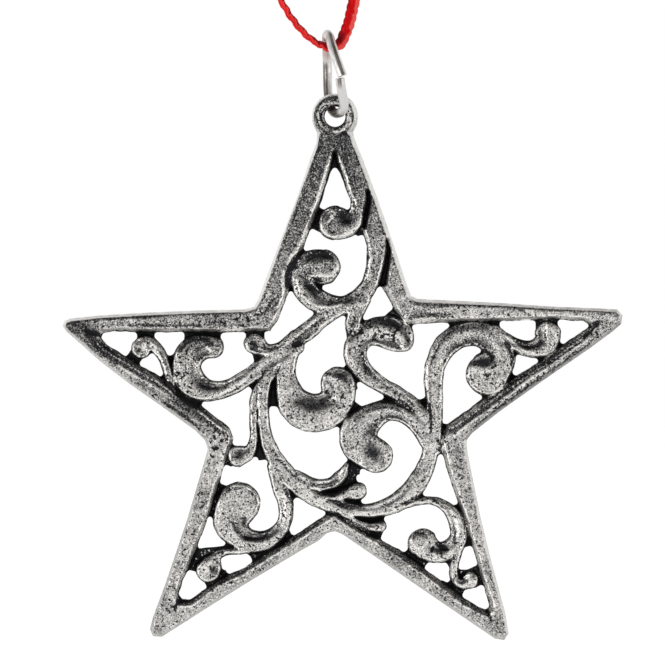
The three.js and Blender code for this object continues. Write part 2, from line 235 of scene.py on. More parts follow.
# The hanging cord: one limp length of narrow plait, three flat satin strands of red yarn, which runs
# through the ring and turns there from its narrow side to its broad one. Its ends go into the knot.
PLAIT_SWING = 0.28 * MM
PLAIT_RISE = 0.09 * MM
PLAIT_PITCH = 2.5 * MM
STRANDS = 3
STRAND_HALF = (0.42 * MM, 0.29 * MM)
SWELL = 0.06 * MM
SWELL_PITCH = 1.5 * MM
STRAND_SIDES = 12
PLAIT_STEP = 0.1 * MM
PLAIT_SMOOTH_UNDER = 60
FRONT_TO_BACK = np.array((0, 1, 0))
FIBRE_STRETCH = 0.35
FIBRES_ROUND = 1.6
FIBRE_DEPTH = 0.03 * MM
BLOT_SIZE = 0.9 * MM
YARN_ROUGHNESS = 0.55
YARN_GLOSS = 0.08
DEEP_RED = (0.62, 0.0, 0.002)
BRIGHT_RED = (1.0, 0.014, 0.016)
# A painted highlight colour for the satin's sheen.
PAINTED_SHEEN_RED = (1.0, 0.11, 0.09)
# A painted shade colour for the plait's dark edges and the ring's shadow.
PAINTED_SHADE_MAROON = (0.16, 0.003, 0.008)
# The route's places in millimetres from the middle of the loop's crook, and where the plait turns.
cord_route = [
    (-0.62, 0, 1), (-0.9, 0, -0.8), (-3.2, 0, -5), (-7.2, 0, -13), (-10, 0, -22), (-10.7, 0, -31),
    (-9.2, 0, -38.8), (-6.15, 0, -44.6), (-5.03, 0, -46.5), (-3.35, 0, -48.5), (-2.1, 0, -49.45),
    (-0.45, 0, -50), (0.55, 0, -49.6), (1.1, 0, -48.5), (1.6, 0, -47.2), (2.2, 0, -44.6),
    (3.9, 0, -38.8), (5.6, 0, -31), (6.2, 0, -22), (5, 0, -13), (2.5, 0, -5), (0.9, 0, -0.8),
    (0.62, 0, 1),
]
turning_places = [(-3.1, -48.7), (1.25, -48.1)]


def smooth_route(points, step):
    """Places about every step along a smooth curve through the points, as the rows of an array."""
    points = np.array(points, float)
    padded = np.vstack([2 * points[0] - points[1], points, 2 * points[-1] - points[-2]])
    made = []
    for a, b, c, d in zip(padded, padded[1:], padded[2:], padded[3:]):
        gaps = [max(np.linalg.norm(q - p), 1e-9) ** 0.5 for p, q in ((a, b), (b, c), (c, d))]
        t0, t1, t2, t3 = np.cumsum([0, *gaps])
        count = max(math.ceil(np.linalg.norm(c - b) / step), 1)
        t = np.linspace(t1, t2, count, endpoint=False)[:, None]
        ab = ((t1 - t) * a + (t - t0) * b) / (t1 - t0)
        bc = ((t2 - t) * b + (t - t1) * c) / (t2 - t1)
        cd = ((t3 - t) * c + (t - t2) * d) / (t3 - t2)
        abc = ((t2 - t) * ab + (t - t0) * bc) / (t2 - t0)
        bcd = ((t3 - t) * bc + (t - t1) * cd) / (t3 - t1)
        made.append(((t2 - t) * abc + (t - t1) * bcd) / (t2 - t1))
    return np.vstack([*made, points[-1:]])


def travelled(places):
    """The way along a line to each of its places."""
    return np.concatenate([[0], np.cumsum(np.linalg.norm(np.diff(places, axis=0), axis=1))])


def frames(centres, broad):
    """The unit ways along, across and through a strip at each of its centres."""
    along = np.gradient(centres, axis=0)
    along /= np.linalg.norm(along, axis=1)[:, None]
    across = broad - along * (broad * along).sum(1)[:, None]
    across /= np.linalg.norm(across, axis=1)[:, None]
    return along, across, np.cross(along, across)


def face_out(piece):
    """Turns every face of a closed piece outwards."""
    work = bmesh.new()
    work.from_mesh(piece.data)
    bmesh.ops.recalc_face_normals(work, faces=work.faces)
    work.to_mesh(piece.data)
    work.free()


def shade_smooth(piece, angle):
    """Shades a piece smooth, but for its edges sharper than the angle in degrees."""
    bpy.ops.object.select_all(action="DESELECT")
    piece.select_set(True)
    bpy.context.view_layer.objects.active = piece
    bpy.ops.object.shade_smooth_by_angle(angle=math.radians(angle))


def write_values(mesh, name, values):
    """Keeps a value at each vertex for the material to read."""
    kept = mesh.attributes.new(name, "FLOAT", "POINT")
    kept.data.foreach_set("value", np.array(values, np.float32))


def add_piece(name, strips, sides, material):
    """One mesh from swept strips: each is its centres, broad way, half width and thickness, how far it
    swings across the piece and the way along the piece."""
    vertices, faces, lengths, turns, sideways = [], [], [], [], []
    for centres, broad, (half_width, half_depth), swing, way in strips:
        _, across, through = frames(centres, broad)
        turn = np.arange(sides) * 2 * math.pi / sides
        sideward = np.cos(turn)[:, None] * half_width
        outward = np.sin(turn)[:, None] * half_depth
        rings = centres[:, None] + across[:, None] * sideward + through[:, None] * outward
        first, count = len(vertices), len(centres)
        vertices += rings.reshape(-1, 3).tolist()
        lengths += np.repeat(way, sides).tolist()
        turns += np.tile(np.arange(sides) / sides, count).tolist()
        sideways += (swing + sideward.T).ravel().tolist()
        for i in range(count - 1):
            for j in range(sides):
                a = first + i * sides + j
                b = first + i * sides + (j + 1) % sides
                faces.append((a, b, b + sides, a + sides))
        faces.append([first + j for j in reversed(range(sides))])
        faces.append([first + (count - 1) * sides + j for j in range(sides)])
    mesh = bpy.data.meshes.new(name)
    mesh.from_pydata(vertices, [], faces)
    write_values(mesh, "length_mm", np.array(lengths) / MM)
    write_values(mesh, "turn", turns)
    write_values(mesh, "side_mm", np.array(sideways) / MM)
    mesh.materials.append(material)
    piece = put_in_scene(name, mesh)
    face_out(piece)
    shade_smooth(piece, PLAIT_SMOOTH_UNDER)
    return piece


def plait(centres, broad):
    """Three strands that pass over and under each other along the centres."""
    _, across, through = frames(centres, broad)
    way = travelled(centres)
    swell = np.sin(way / SWELL_PITCH * 2 * math.pi)[:, None] * SWELL
    strips = []
    for k in range(STRANDS):
        phase = way / PLAIT_PITCH * 2 * math.pi + k * 2 * math.pi / STRANDS
        swing = np.sin(phase)[:, None] * PLAIT_SWING
        rise = np.sin(2 * phase)[:, None] * PLAIT_RISE
        strips.append((centres + across * swing + through * (rise + swell), across, STRAND_HALF, swing, way))
    return strips


def mix(tree, factor, first, second):
    """A mixture of two colours: the second where the factor is 1."""
    first, second = [colour if isinstance(colour, Socket) else (*colour, 1) for colour in (first, second)]
    return add_node(tree, "ShaderNodeMix", {"data_type": "RGBA"}, {0: factor, 6: first, 7: second}, output=2)


def attribute(tree, name):
    """A value kept at the mesh's vertices."""
    return add_node(tree, "ShaderNodeAttribute", {"attribute_name": name}, output="Fac")


def object_place(tree):
    """A place on the piece, in metres."""
    return add_node(tree, "ShaderNodeTexCoord", output="Object")


def noise(tree, place, size, detail=2.0, roughness=0.5):
    """Noise from 0 to 1 whose blots are about size metres across."""
    inputs = {"Vector": place, "Scale": 1 / size, "Detail": detail, "Roughness": roughness}
    return add_node(tree, "ShaderNodeTexNoise", {}, inputs)


def bump(tree, strength, depth, height):
    """The small relief of a pattern, up to that depth in metres."""
    return add_node(tree, "ShaderNodeBump", {}, {"Strength": strength, "Distance": depth, "Height": height})


def finish_surface(tree, **inputs):
    """Ends a material in one surface, its inputs named in the node's own words."""
    inputs = {name.replace("_", " "): value for name, value in inputs.items()}
    finish(tree, add_node(tree, "ShaderNodeBsdfPrincipled", {}, inputs))


centres = smooth_route(np.array(cord_route) * MM, PLAIT_STEP)
way = travelled(centres)
start, end = [
    way[np.argmin(np.hypot(centres[:, 0] - x * MM, centres[:, 2] - z * MM))] for x, z in turning_places
]
share = np.clip((way - start) / (end - start), 0, 1)
twist = (share * share * (3 - 2 * share))[:, None] * math.pi / 2
sideward = np.cross(np.gradient(centres, axis=0), FRONT_TO_BACK)
sideward /= np.linalg.norm(sideward, axis=1)[:, None]
broad = np.cos(twist) * FRONT_TO_BACK + np.sin(twist) * sideward
lowest_mm = way[np.argmin(centres[:, 2])] / MM

satin_yarn, tree = new_material("red_satin_yarn")
length_mm = attribute(tree, "length_mm")
side_mm = attribute(tree, "side_mm")
turn = attribute(tree, "turn") * 2 * math.pi
fibre_place = add_node(
    tree,
    "ShaderNodeCombineXYZ",
    {},
    {
        "X": length_mm * FIBRE_STRETCH,
        "Y": turn.sine() * FIBRES_ROUND,
        "Z": (turn + math.pi / 2).sine() * FIBRES_ROUND,
    },
)
fibres = noise(tree, fibre_place, 1.0)
wander = noise(tree, object_place(tree), BLOT_SIZE) - 0.5
# The right leg shows the plait's broad side and the left leg its narrow side; both get a painted sheen.
right_leg = length_mm.step(lowest_mm - 0.5, lowest_mm + 1.0)
left_leg = 1 - right_leg
# Painted sheen: along one edge of the right leg and along the middle of the left leg.
right_painted_sheen = right_leg * (side_mm + wander * 0.9 - right_leg * 0.34).step(-0.52, -0.74)
left_round = turn.sine() + wander * 0.6
left_painted_sheen = left_leg * left_round.band(-0.4, 0.0, 0.3, 0.5) * 0.55
# Painted shade along the edges of each leg.
left_painted_edge_shade = left_leg * left_round.step(0.42, 0.8) * 0.8
right_painted_edge_shade = right_leg * (side_mm + wander * 0.4).step(0.36, 0.6) * 0.55
# A painted shadow of the ring on the plait where the plait runs through it.
ring_painted_shadow = length_mm.band(lowest_mm - 2.0, lowest_mm - 0.8, lowest_mm + 1.8, lowest_mm + 3.2)
ring_painted_shadow = ring_painted_shadow * side_mm.step(-0.3, 0.1, 0.1, 0.9)
red = mix(tree, fibres.step(0.3, 0.7), DEEP_RED, BRIGHT_RED)
red = mix(tree, right_painted_sheen.highest(left_painted_sheen), red, PAINTED_SHEEN_RED)
red = mix(tree, left_painted_edge_shade.highest(ring_painted_shadow).highest(right_painted_edge_shade), red, PAINTED_SHADE_MAROON)
finish_surface(
    tree,
    Base_Color=red,
    Roughness=YARN_ROUGHNESS,
    Specular_IOR_Level=YARN_GLOSS,
    Normal=bump(tree, 0.25, FIBRE_DEPTH, fibres),
)
cord = add_piece("hanging_plait", plait(centres, broad), STRAND_SIDES, satin_yarn)
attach(cord, "cord_loop")
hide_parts("hanging_cord")

# The knot: both ends of the plait tied together in one tight overhand knot, and their two cut tails.
# Each end winds once round the other inside the knot before it leaves at the top.
# Places in the knot are in millimetres from the middle of the loop's crook.
WIND_RADIUS = 1.6
WIND_TILT = 0.29
WIND_TILT_TURN = 0.6
WIND_PLACES = 9
WIND_ANGLE = 40
WIND_DROP = 0.25
WIND_RISE = 0.05
LEFT_LEVEL = 2.75
RIGHT_LEVEL = 4.05
LEGS_END, WINDINGS_START = 1.3, 1.9
WINDINGS_END, TAILS_START = 4.8, 6.0
left_tail = [(-0.5, 0, 5.0), (-1.1, -0.2, 6.6), (-2.3, -0.5, 9.4), (-3.1, -0.6, 12.1)]
right_tail = [(0.5, 0, 5.0), (1, 0.2, 6.4), (1.6, 0.6, 9), (2.55, 0.85, 11.2)]
windings = []
for side, level, tail in ((-1, LEFT_LEVEL, left_tail), (1, RIGHT_LEVEL, right_tail)):
    route = [(side * 0.62, 0, 0.95), (side * 0.75, 0.1, 1.5)]
    for i in range(WIND_PLACES):
        angle = math.radians(WIND_ANGLE * i) + (0 if side > 0 else math.pi)
        tilt = side * WIND_TILT * WIND_RADIUS * math.sin(angle + WIND_TILT_TURN)
        route.append((
            WIND_RADIUS * math.cos(angle),
            WIND_RADIUS * math.sin(angle),
            level + tilt - WIND_DROP + WIND_RISE * i,
        ))
    route += [(side * 0.35, -0.25 * side, level + 0.5), *tail]
    centres = smooth_route(np.array(route) * MM, PLAIT_STEP)
    z_mm = centres[:, 2:] / MM
    in_tail = np.clip((z_mm - WINDINGS_END) / (TAILS_START - WINDINGS_END), 0, 1)
    in_leg = np.clip((WINDINGS_START - z_mm) / (WINDINGS_START - LEGS_END), 0, 1)
    upright = (1 - in_tail) * (1 - in_leg)
    broad = upright * np.array((0, 0, 1.0)) + (1 - upright) * np.array((1.0, 0.15, 0.0))
    windings += plait(centres, broad)
knot = add_piece("plait_knot", windings, STRAND_SIDES, satin_yarn)
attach(knot, "cord_loop")
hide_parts("cord_knot")

# The jump ring: one turn of round silver-coloured wire, cut square at its front, where it has sprung a
# little open. It goes round the plait above and through the star's eye below.
WIRE_RADIUS = 0.53 * MM
WIRE_SIDES = 20
WIRE_STEP = 0.12 * MM
DULL_SIZE = 0.7 * MM
DRAWN_DEPTH = 0.02 * MM
WIRE_METAL = 0.4
SILVER = (0.88, 0.87, 0.85)
DULL_SILVER = (0.70, 0.68, 0.65)
LOW_SILVER = (0.74, 0.72, 0.70)
ROSY_SILVER = (0.58, 0.47, 0.43)
# A painted colour for dark reflections and shade on the wire.
PAINTED_SHADE_GREY = (0.15, 0.125, 0.10)
# The wire's middle line from its lower cut end: x and y in the photograph's pixels, depth in millimetres.
ring_line_pixels = [
    (339.9, 79.9, -3.0), (340.6, 86, -2.85), (342.2, 95, -2.4), (343.7, 103, -1.9), (343.6, 108.6, -1.4),
    (341.2, 112.2, -0.85), (338.6, 113.3, -0.3), (336, 113.2, 0.3), (333.6, 111.6, 0.95),
    (331, 107.5, 1.6), (328.9, 100, 2.2), (327.8, 89, 2.7), (327.5, 75, 2.95), (327.3, 60, 2.7),
    (326.8, 47, 1.95), (326.6, 38.5, 1.0), (327.4, 34.5, 0.1), (329.3, 37, -0.9), (331.7, 46, -1.9),
    (335.1, 57, -2.6), (338.9, 68, -2.95), (342.4, 77.4, -3.05),
]


def on_picture(x, y, depth=0.0):
    """A place in the picture, and a depth behind the star's middle in millimetres, in metres."""
    return (
        eye_x + (x - EYE_CENTRE_PIXELS[0]) * PIXEL,
        depth * MM,
        eye_z - (y - EYE_CENTRE_PIXELS[1]) * PIXEL,
    )


silver_wire, tree = new_material("silver_wire")
length_mm = attribute(tree, "length_mm")
turn = attribute(tree, "turn")
dull = noise(tree, object_place(tree), DULL_SIZE, 3.0, 0.6)
drawn_place = add_node(tree, "ShaderNodeCombineXYZ", {}, {"X": length_mm * 0.4, "Y": turn * 18.0})
drawn = noise(tree, drawn_place, 1.0)
silver = mix(tree, dull.step(0.35, 0.7), SILVER, DULL_SILVER)
silver = mix(tree, length_mm.step(4.4, 3.4), silver, LOW_SILVER)
silver = mix(tree, length_mm.band(13.0, 14.2, 16.8, 18.2), silver, ROSY_SILVER)
# Painted dark reflections in stripes along the wire, on its front near the cut and behind, and painted shade
# in the eye.
front_dark_reflection = turn.band(0.17, 0.22, 0.28, 0.33) * length_mm.step(17.5, 18.6)
back_dark_reflection = turn.band(0.50, 0.56, 0.70, 0.76) * length_mm.band(7.5, 8.5, 12.6, 13.6)
low_dark_reflection = turn.band(0.20, 0.26, 0.34, 0.42) * length_mm.step(1.3, 0.3)
in_eye_shade = length_mm.band(4.0, 4.8, 7.4, 8.4)
painted_reflection_and_shade = front_dark_reflection.highest(back_dark_reflection).highest(low_dark_reflection).highest(in_eye_shade)
silver = mix(tree, painted_reflection_and_shade * drawn.step(0.25, 0.55, 0.55, 1.0), silver, PAINTED_SHADE_GREY)
finish_surface(
    tree,
    Base_Color=silver,
    Metallic=WIRE_METAL,
    Roughness=dull.step(0.3, 0.7, 0.24, 0.4),
    Normal=bump(tree, 0.25, DRAWN_DEPTH, drawn + dull * 0.6),
)
centres = smooth_route([on_picture(*point) for point in ring_line_pixels], WIRE_STEP)
sideward = np.array((1.0, 0.2, 0.0))
unswung = np.zeros((len(centres), 1))
wire = (centres, sideward, (WIRE_RADIUS, WIRE_RADIUS), unswung, travelled(centres))
ring = add_piece("wire_ring", [wire], WIRE_SIDES, silver_wire)
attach(ring, "ring")
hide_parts("jump_ring")

# The star: one casting, sandy from its mould, blackened all over and then rubbed bright where it
# stands proud. Its height over the flat back is worked out on a fine grid from its bars and scrolls.
# In this section sizes are in millimetres, and U and V run right of and up from the eye's middle.
GRID = 0.118
MARGIN = 6 * GRID
FAR = 9.0
MM_PER_PIXEL = PIXEL / MM
FRAME_THICKNESS = 2.2
FRAME_FALL = 1.0
OUTER_DRAFT = 0.4
INNER_DRAFT = 0.62
EYE_HOLE_RADIUS = 1.18
EYE_HOLE_FALL = 0.8
EYE_HOLE_ROUND = 0.42
CLOSE_TO_HOLE = 0.3
EYE_FALL = 0.25
EYE_LOW_RADIUS = 2.5
EYE_HIGH_RADIUS = 3.4
EYE_LINE_DEPTH = 0.14
EYE_LINE_RADIUS = 1.83
EYE_LINE_WIDTH = 0.11
NECK_BLEND = 0.12
NECK_DEEP = 2
SCROLL_HEIGHT = 1.95
SCROLL_EDGE = 0.3
SCROLL_DROP = 0.8
OUTER_SIDE_FALL = 0.25
FULL_BEND = 0.25
BEND_ROUNDS = 6
CHANNEL_DEPTH = 0.28
CHANNEL_PLACE_SHARE = 0.42
CHANNEL_WIDTH_SHARE = 0.26
WEB_HEIGHT = 0.75
WEB_FILLET = 0.27
ABOVE_WEBS = WEB_HEIGHT + 0.1
EDGE_WANDER = 0.05
OPENING_WANDER_SHARE = 1.4
FACE_WANDER = 0.045
LINE_DEPTH = 0.07
SCRATCH_START, SCRATCH_END = 0.05, 0.02
BLACK_LINE, FINE_LINE, BRIGHT_LINE = 1.3, 0.65, -0.9
RIM_WIDTH = 0.5
LEAST_SLOPE = 0.3
STAR_SMOOTH_UNDER = 55

# The frame's outline, and the outline of its opening.
outer_pixels = [
    (322, 130), (317.5, 134), (316.5, 143), (310, 160), (297.5, 197), (277, 250), (258, 300), (254, 307),
    (245, 309.5), (200, 310.5), (150, 312.5), (100, 315.5), (71, 318.5), (64.5, 321), (63, 325.5),
    (66, 331), (80, 343), (100, 361), (130, 384), (160, 405), (195, 430), (205, 440), (208, 448),
    (203, 466), (187, 520), (165, 585), (153, 617), (150, 629), (153, 636), (162, 636.5), (185, 622),
    (213, 604), (250, 581), (275, 566), (300, 551), (318, 541), (327, 533), (335, 531), (343, 534.5),
    (378, 558.5), (428, 593), (478, 627), (495, 638.5), (504, 640), (508.5, 633), (505, 612), (491, 560),
    (480, 515), (467, 450), (466.5, 440), (472, 433), (500, 411), (545, 379), (590, 348), (613, 331),
    (621, 324), (622.5, 315.5), (617, 309.5), (600, 308.5), (550, 306.5), (500, 303), (450, 300.5),
    (418, 299), (411, 296), (405, 280), (396, 252), (378, 200), (363, 160), (356, 143), (353, 134),
    (348, 130),
]
inner_pixels = [
    (335, 164), (329, 176), (321, 202), (311, 228), (303, 250), (291, 285), (278.5, 320), (270, 331),
    (218, 332.5), (152, 332), (112, 331.5), (103, 333), (100.5, 337), (106, 344), (122, 354),
    (140, 365.5), (164, 379), (180, 392), (200, 405), (229, 428), (233.5, 438), (225.3, 462), (211, 510),
    (197.2, 547.6), (182, 583), (178.5, 594), (181, 600), (190, 600), (205, 589), (222, 578), (244, 568),
    (262, 556), (280, 545), (315, 522), (333, 510), (360, 527), (400, 551), (440, 580), (462, 597),
    (479, 608), (487, 610.5), (490, 606), (483, 585), (472.8, 548), (458, 504), (444.7, 462), (440, 441),
    (446, 425), (480, 401), (515, 377), (540, 361), (562, 345), (585, 330), (590, 325), (584, 321.5),
    (565, 319.5), (533, 320.5), (450, 322), (405, 325), (394.8, 310.8), (380.8, 284.4), (362, 232),
    (347, 190), (340, 173),
]
# Each scroll's middle line from end to end, with its half width.
scroll_pixels = {
    "top_curl": [(355, 182, 8), (358, 200, 7.5), (356, 214, 8.5), (349, 224, 12), (335.5, 223, 17.5)],
    "upper_scroll": [
        (372, 206, 6), (376, 226, 8), (376, 250, 9.5), (374, 270, 8.5), (368, 287, 9), (356, 300, 9.5),
        (340, 306, 10), (321.8, 302.7, 11.7), (306.6, 291.4, 12.1), (301, 277, 11), (307, 265, 13),
        (322.5, 267, 18),
    ],
    "bud": [(362, 298, 9), (356, 312, 8.5), (352, 324, 7), (351, 331, 4)],
    "right_curl": [
        (434, 448, 8), (428, 427, 8), (415, 407, 8), (398, 394, 7.5), (381, 384.5, 8),
        (363.7, 371.5, 9.9), (355.4, 358, 11.3), (356.6, 345, 11.7), (367, 334, 12.5), (380, 331.5, 15),
        (395.5, 334.5, 17.2), (404, 341.5, 10),
    ],
    "middle_scroll": [
        (297, 338, 9), (290, 352, 9.5), (286, 370, 9.8), (288, 389, 12.5), (296, 405, 17.5),
        (313, 413, 19.5), (330, 408, 18.5), (338, 396, 17.5), (338, 384.5, 17.5),
    ],
    "lower_scroll": [
        (428, 442, 8), (418, 426, 8.5), (404, 414, 9.5), (388, 410, 10.5), (372, 417, 13.5),
        (359.5, 430, 18.7), (359.7, 444, 18.8), (376, 456, 17),
    ],
    "right_scroll": [
        (433, 448, 8), (434, 425, 8.5), (434.2, 400, 8.5), (433.3, 380, 9.5), (437, 361, 10.5),
        (447, 344, 12), (462, 335.5, 12), (478, 334, 12.5), (493, 341, 14.5), (499.5, 357, 16),
        (487.5, 374, 21.5),
    ],
    "right_hook": [
        (494, 330, 6), (505, 338, 6), (518, 346, 7), (532, 349, 9), (544, 345, 12), (548, 338, 12.5),
        (548, 334, 13),
    ],
    "left_hook": [
        (172, 392, 5), (168.5, 374, 4.8), (163, 358, 5), (154, 346, 6.5), (145, 344, 8.5),
        (141.5, 348, 10.5),
    ],
    "left_scroll": [
        (296, 346, 9), (275, 359, 9), (257, 371, 8.5), (240, 382, 8.5), (222, 390, 9), (205, 390, 11.5),
        (191, 381, 15), (186, 366, 14.5), (192, 352, 15), (204, 347, 12.5), (213, 347.5, 11),
    ],
    "inner_hook": [
        (338, 308, 9), (322, 319, 8.5), (309, 330, 9), (294, 341, 9), (279, 349, 6.5), (266, 350, 6.5),
        (254.5, 343.5, 10.5),
    ],
    "corner_hook": [
        (272, 372, 7), (259, 388, 6), (254.5, 405, 5), (254, 425, 4.2), (254, 440, 5), (249, 452, 7),
        (238.5, 456, 10.8),
    ],
    "sweep": [
        (268, 372, 7), (263.5, 392, 6.5), (263, 412, 6), (264.5, 430, 6.5), (270, 449, 7.5),
        (280, 466, 9), (293, 481, 9.5), (309, 494, 9), (327, 503, 8.5), (346, 508, 7.5), (366, 511, 7),
        (385, 507.5, 8.5), (401, 500, 10), (415, 486, 10.5), (425, 469, 9), (430, 453, 8), (433, 436, 8),
    ],
    "upper_leaf": [(296, 478, 8), (312, 484, 6), (328, 484.5, 6), (340, 477, 6.5), (347, 465, 3)],
    "middle_leaf": [(316, 496, 5), (334, 497, 4.5), (348, 493, 6.5), (357.5, 491, 9)],
    "lower_leaf": [(342, 512, 5), (356, 522, 4), (370, 527, 5), (380, 526, 6.5)],
    "foot_scroll": [
        (273, 466, 6), (280, 487, 8), (285.8, 504, 7.8), (284.5, 522, 7.3), (274, 536, 9), (258, 542, 11),
        (242, 537.5, 12.5), (229.8, 522, 16.8), (239, 503.3, 21.3),
    ],
    "foot_hook": [(248, 549, 5), (230, 551, 4), (217, 556, 5), (209, 570, 12.8)],
    "heel_scroll": [
        (396, 505, 6), (414, 502, 4.5), (431, 500.5, 4), (447, 507.5, 6), (456.5, 520, 8.3),
        (459, 535, 8.8), (453, 547, 10), (441, 552.5, 10.5), (429, 550, 12), (423.2, 544, 15.5),
    ],
    "heel_hook": [(456, 552, 6), (454, 566, 4.5), (455, 579, 5), (461, 584, 5.5), (470, 580, 8.5)],
}
# The low webs that tie scrolls and frame together: each one's two ends and its half width.
web_pixels = [
    (310, 215, 324, 222, 11), (356, 231, 370, 226, 6), (291, 288, 303, 256, 9), (246, 334, 264, 334, 9),
    (184, 334, 220, 336, 8), (137, 334, 154, 334, 8), (128, 354, 140, 362, 5), (170, 356, 196, 402, 8),
    (162, 380, 190, 402, 6), (224, 464, 231, 446, 7.5), (259, 416, 263, 460, 5), (250, 388, 268, 378, 6),
    (280, 366, 273, 406, 7), (254, 360, 278, 354, 5), (290, 345, 301, 345, 5), (346, 334, 366, 330, 6),
    (389, 312, 403, 328, 6), (347, 368, 354, 390, 4), (344, 424, 358, 404, 8), (386, 400, 414, 410, 8),
    (421, 399, 430, 434, 5), (450, 326, 500, 326, 8), (506, 346, 508, 388, 5), (490, 394, 516, 378, 6),
    (536, 323, 558, 323, 7), (542, 358, 564, 350, 7), (446, 424, 438, 450, 7), (404, 504, 423, 498, 4.5),
    (458, 504, 470, 546, 5), (406, 552, 424, 568, 7), (446, 562, 456, 556, 5), (440, 586, 462, 596, 6),
    (472, 568, 480, 586, 5), (457, 577, 474, 577, 7), (326, 514, 382, 536, 6), (316, 490, 352, 486, 6),
    (330, 502, 360, 502, 5), (352, 520, 384, 520, 6), (349.5, 466, 352.5, 484, 5),
    (352, 470, 360, 471, 3.5), (284, 482, 292, 500, 5), (220, 484, 210, 516, 6),
    (232, 545, 239, 548, 6.5), (247, 550.5, 257, 557.5, 3), (198, 553, 236, 549, 4),
    (194, 552, 190, 570, 6), (206, 586, 228, 576, 6), (250, 556, 292, 536, 7),
]
# Sunk lines with their half widths: two grooves in the upper right bar, and the notch over the opening.
groove_pixels = [
    [(367.5, 191, 0.7), (368.6, 200, 1.5), (367, 209, 1.7), (365.3, 218, 1.8), (364, 227, 1.3)],
    [(387.3, 240, 0.7), (388.3, 250, 1.4), (387, 262, 1.7), (384.6, 274, 2.2), (383, 283, 2.8)],
    [(334.7, 152, 0.5), (334.8, 159, 1.7), (334.6, 167, 3.4)],
]
# Lines cut by the tool that finished the mould, with their half widths: deep furrows, which stay black,
# fine ones, and ridges, which are rubbed bright.
black_furrow_pixels = [
    [(333, 164, 1.2), (329.5, 172, 0.9), (325.8, 184, 0.7), (322, 196, 0.7), (319.8, 206, 1.4)],
    [(338, 164, 1.2), (341.5, 174, 1.3), (345, 186, 1.3), (347.5, 198, 1.3), (348.5, 208, 1.5)],
    [(301, 252, 2), (295, 261, 3.5), (289.5, 272, 3.5), (287.5, 286, 2.5)],
    [(311.5, 278.5, 1), (317, 279.5, 1.3), (322, 282, 0.8)],
    [(293.5, 345, 2.3), (298, 344, 2.8), (303, 343, 1.6)],
    [(350, 333, 1.8), (356, 334, 2), (361, 330, 1.3)],
    [(349, 415, 2.5), (357, 409, 2.2), (367, 404, 1.8), (380, 400.5, 2), (392, 401, 3), (402, 404, 3.3),
     (410, 409.5, 2.3), (414, 411, 0.8)],
    [(505, 343, 1.5), (509.5, 348, 2.3), (512, 356, 2), (511, 366, 1.5)],
    [(512, 337, 1), (518, 340.5, 1.3), (525, 342, 1.8), (531, 341, 1)],
    [(484, 350, 1.5), (489, 354, 2), (493, 357, 1.5)],
    [(311.5, 489, 0.6), (318, 492, 1.5), (326, 494, 1.9), (336, 493, 1.9), (345, 488.5, 2),
     (350, 483, 2.5)],
    [(328, 499, 0.7), (336, 502, 2.2), (346, 505, 3.3), (356, 505, 3.3), (364, 505, 2)],
    [(354, 516, 0.8), (362, 518.5, 1.8), (372, 521, 2.8), (381, 520, 2.5)],
    [(283.5, 484, 0.8), (286.2, 489, 2.4), (289.3, 494.5, 3), (291.5, 498, 2)],
    [(290.7, 498, 1), (291.7, 506, 1.1), (291.7, 516, 1.1), (290, 526, 0.9)],
    [(293, 494, 0.8), (298, 497.8, 1), (303, 501, 0.9)],
    [(324, 514, 1.5), (332, 513, 2.6), (341, 514, 1)],
    [(338, 515.5, 1.4), (348, 520, 1.7), (358, 526, 2.3), (368, 532, 3), (378, 536, 3)],
    [(257.5, 425, 0.8), (258.5, 440, 1.7), (261, 452, 2), (265, 464, 1.3), (268, 471, 0.6)],
    [(252, 386, 2.2), (257, 382, 1.8), (262, 376, 1.2), (265, 371, 0.6)],
    [(280, 366, 0.6), (276, 376, 1.3), (274, 388, 2), (272.5, 400, 2.2)],
    [(171, 357, 1.3), (171.5, 365, 1.5), (173, 374, 0.8)],
    [(166, 381, 2.5), (175, 390, 3.2), (186, 400, 3.2), (196, 406, 3)],
    [(401, 503.5, 0.8), (410, 501, 1.8), (418, 496.5, 2.5)],
    [(455, 555, 0.6), (452, 559, 2.2), (449, 563, 2)],
    [(431, 551, 0.9), (433, 547, 0.9)],
    [(437, 543, 1.6), (443, 547, 2.6), (447, 549, 1.6)],
    [(441, 553, 1.3), (442, 557, 1)],
    [(457, 572, 1.5), (459, 577, 2), (463, 578, 1.5)],
    [(459, 507, 2), (463, 516, 2), (466, 526, 2), (468, 536, 2.2), (470, 543, 2)],
    [(439, 440, 1), (440, 450, 1.3)],
    [(426, 400, 2), (429, 410, 2), (431, 422, 1.5), (430.5, 433, 0.8)],
    [(325.5, 108, 0.6), (322, 113, 0.8), (321, 119, 0.8), (324, 126, 0.8)],
    [(231, 548, 1.6), (237, 548, 1.6)],
    [(179.5, 597, 1.6), (177, 604, 1.9), (174.8, 609, 0.9)],
    [(180, 602, 1), (190, 600.5, 1), (201, 593.5, 0.8)],
    [(486.5, 609, 1.6), (489.3, 615.5, 1.6), (491, 620.5, 0.8)],
    [(102, 336, 1.4), (94, 333, 2.2), (86, 330.5, 1.3)],
    [(589, 326.5, 1.8), (594, 324, 1.8), (598, 321.5, 0.8)],
    [(584, 337, 1.2), (591, 331, 1.4), (597, 324.5, 1)],
]
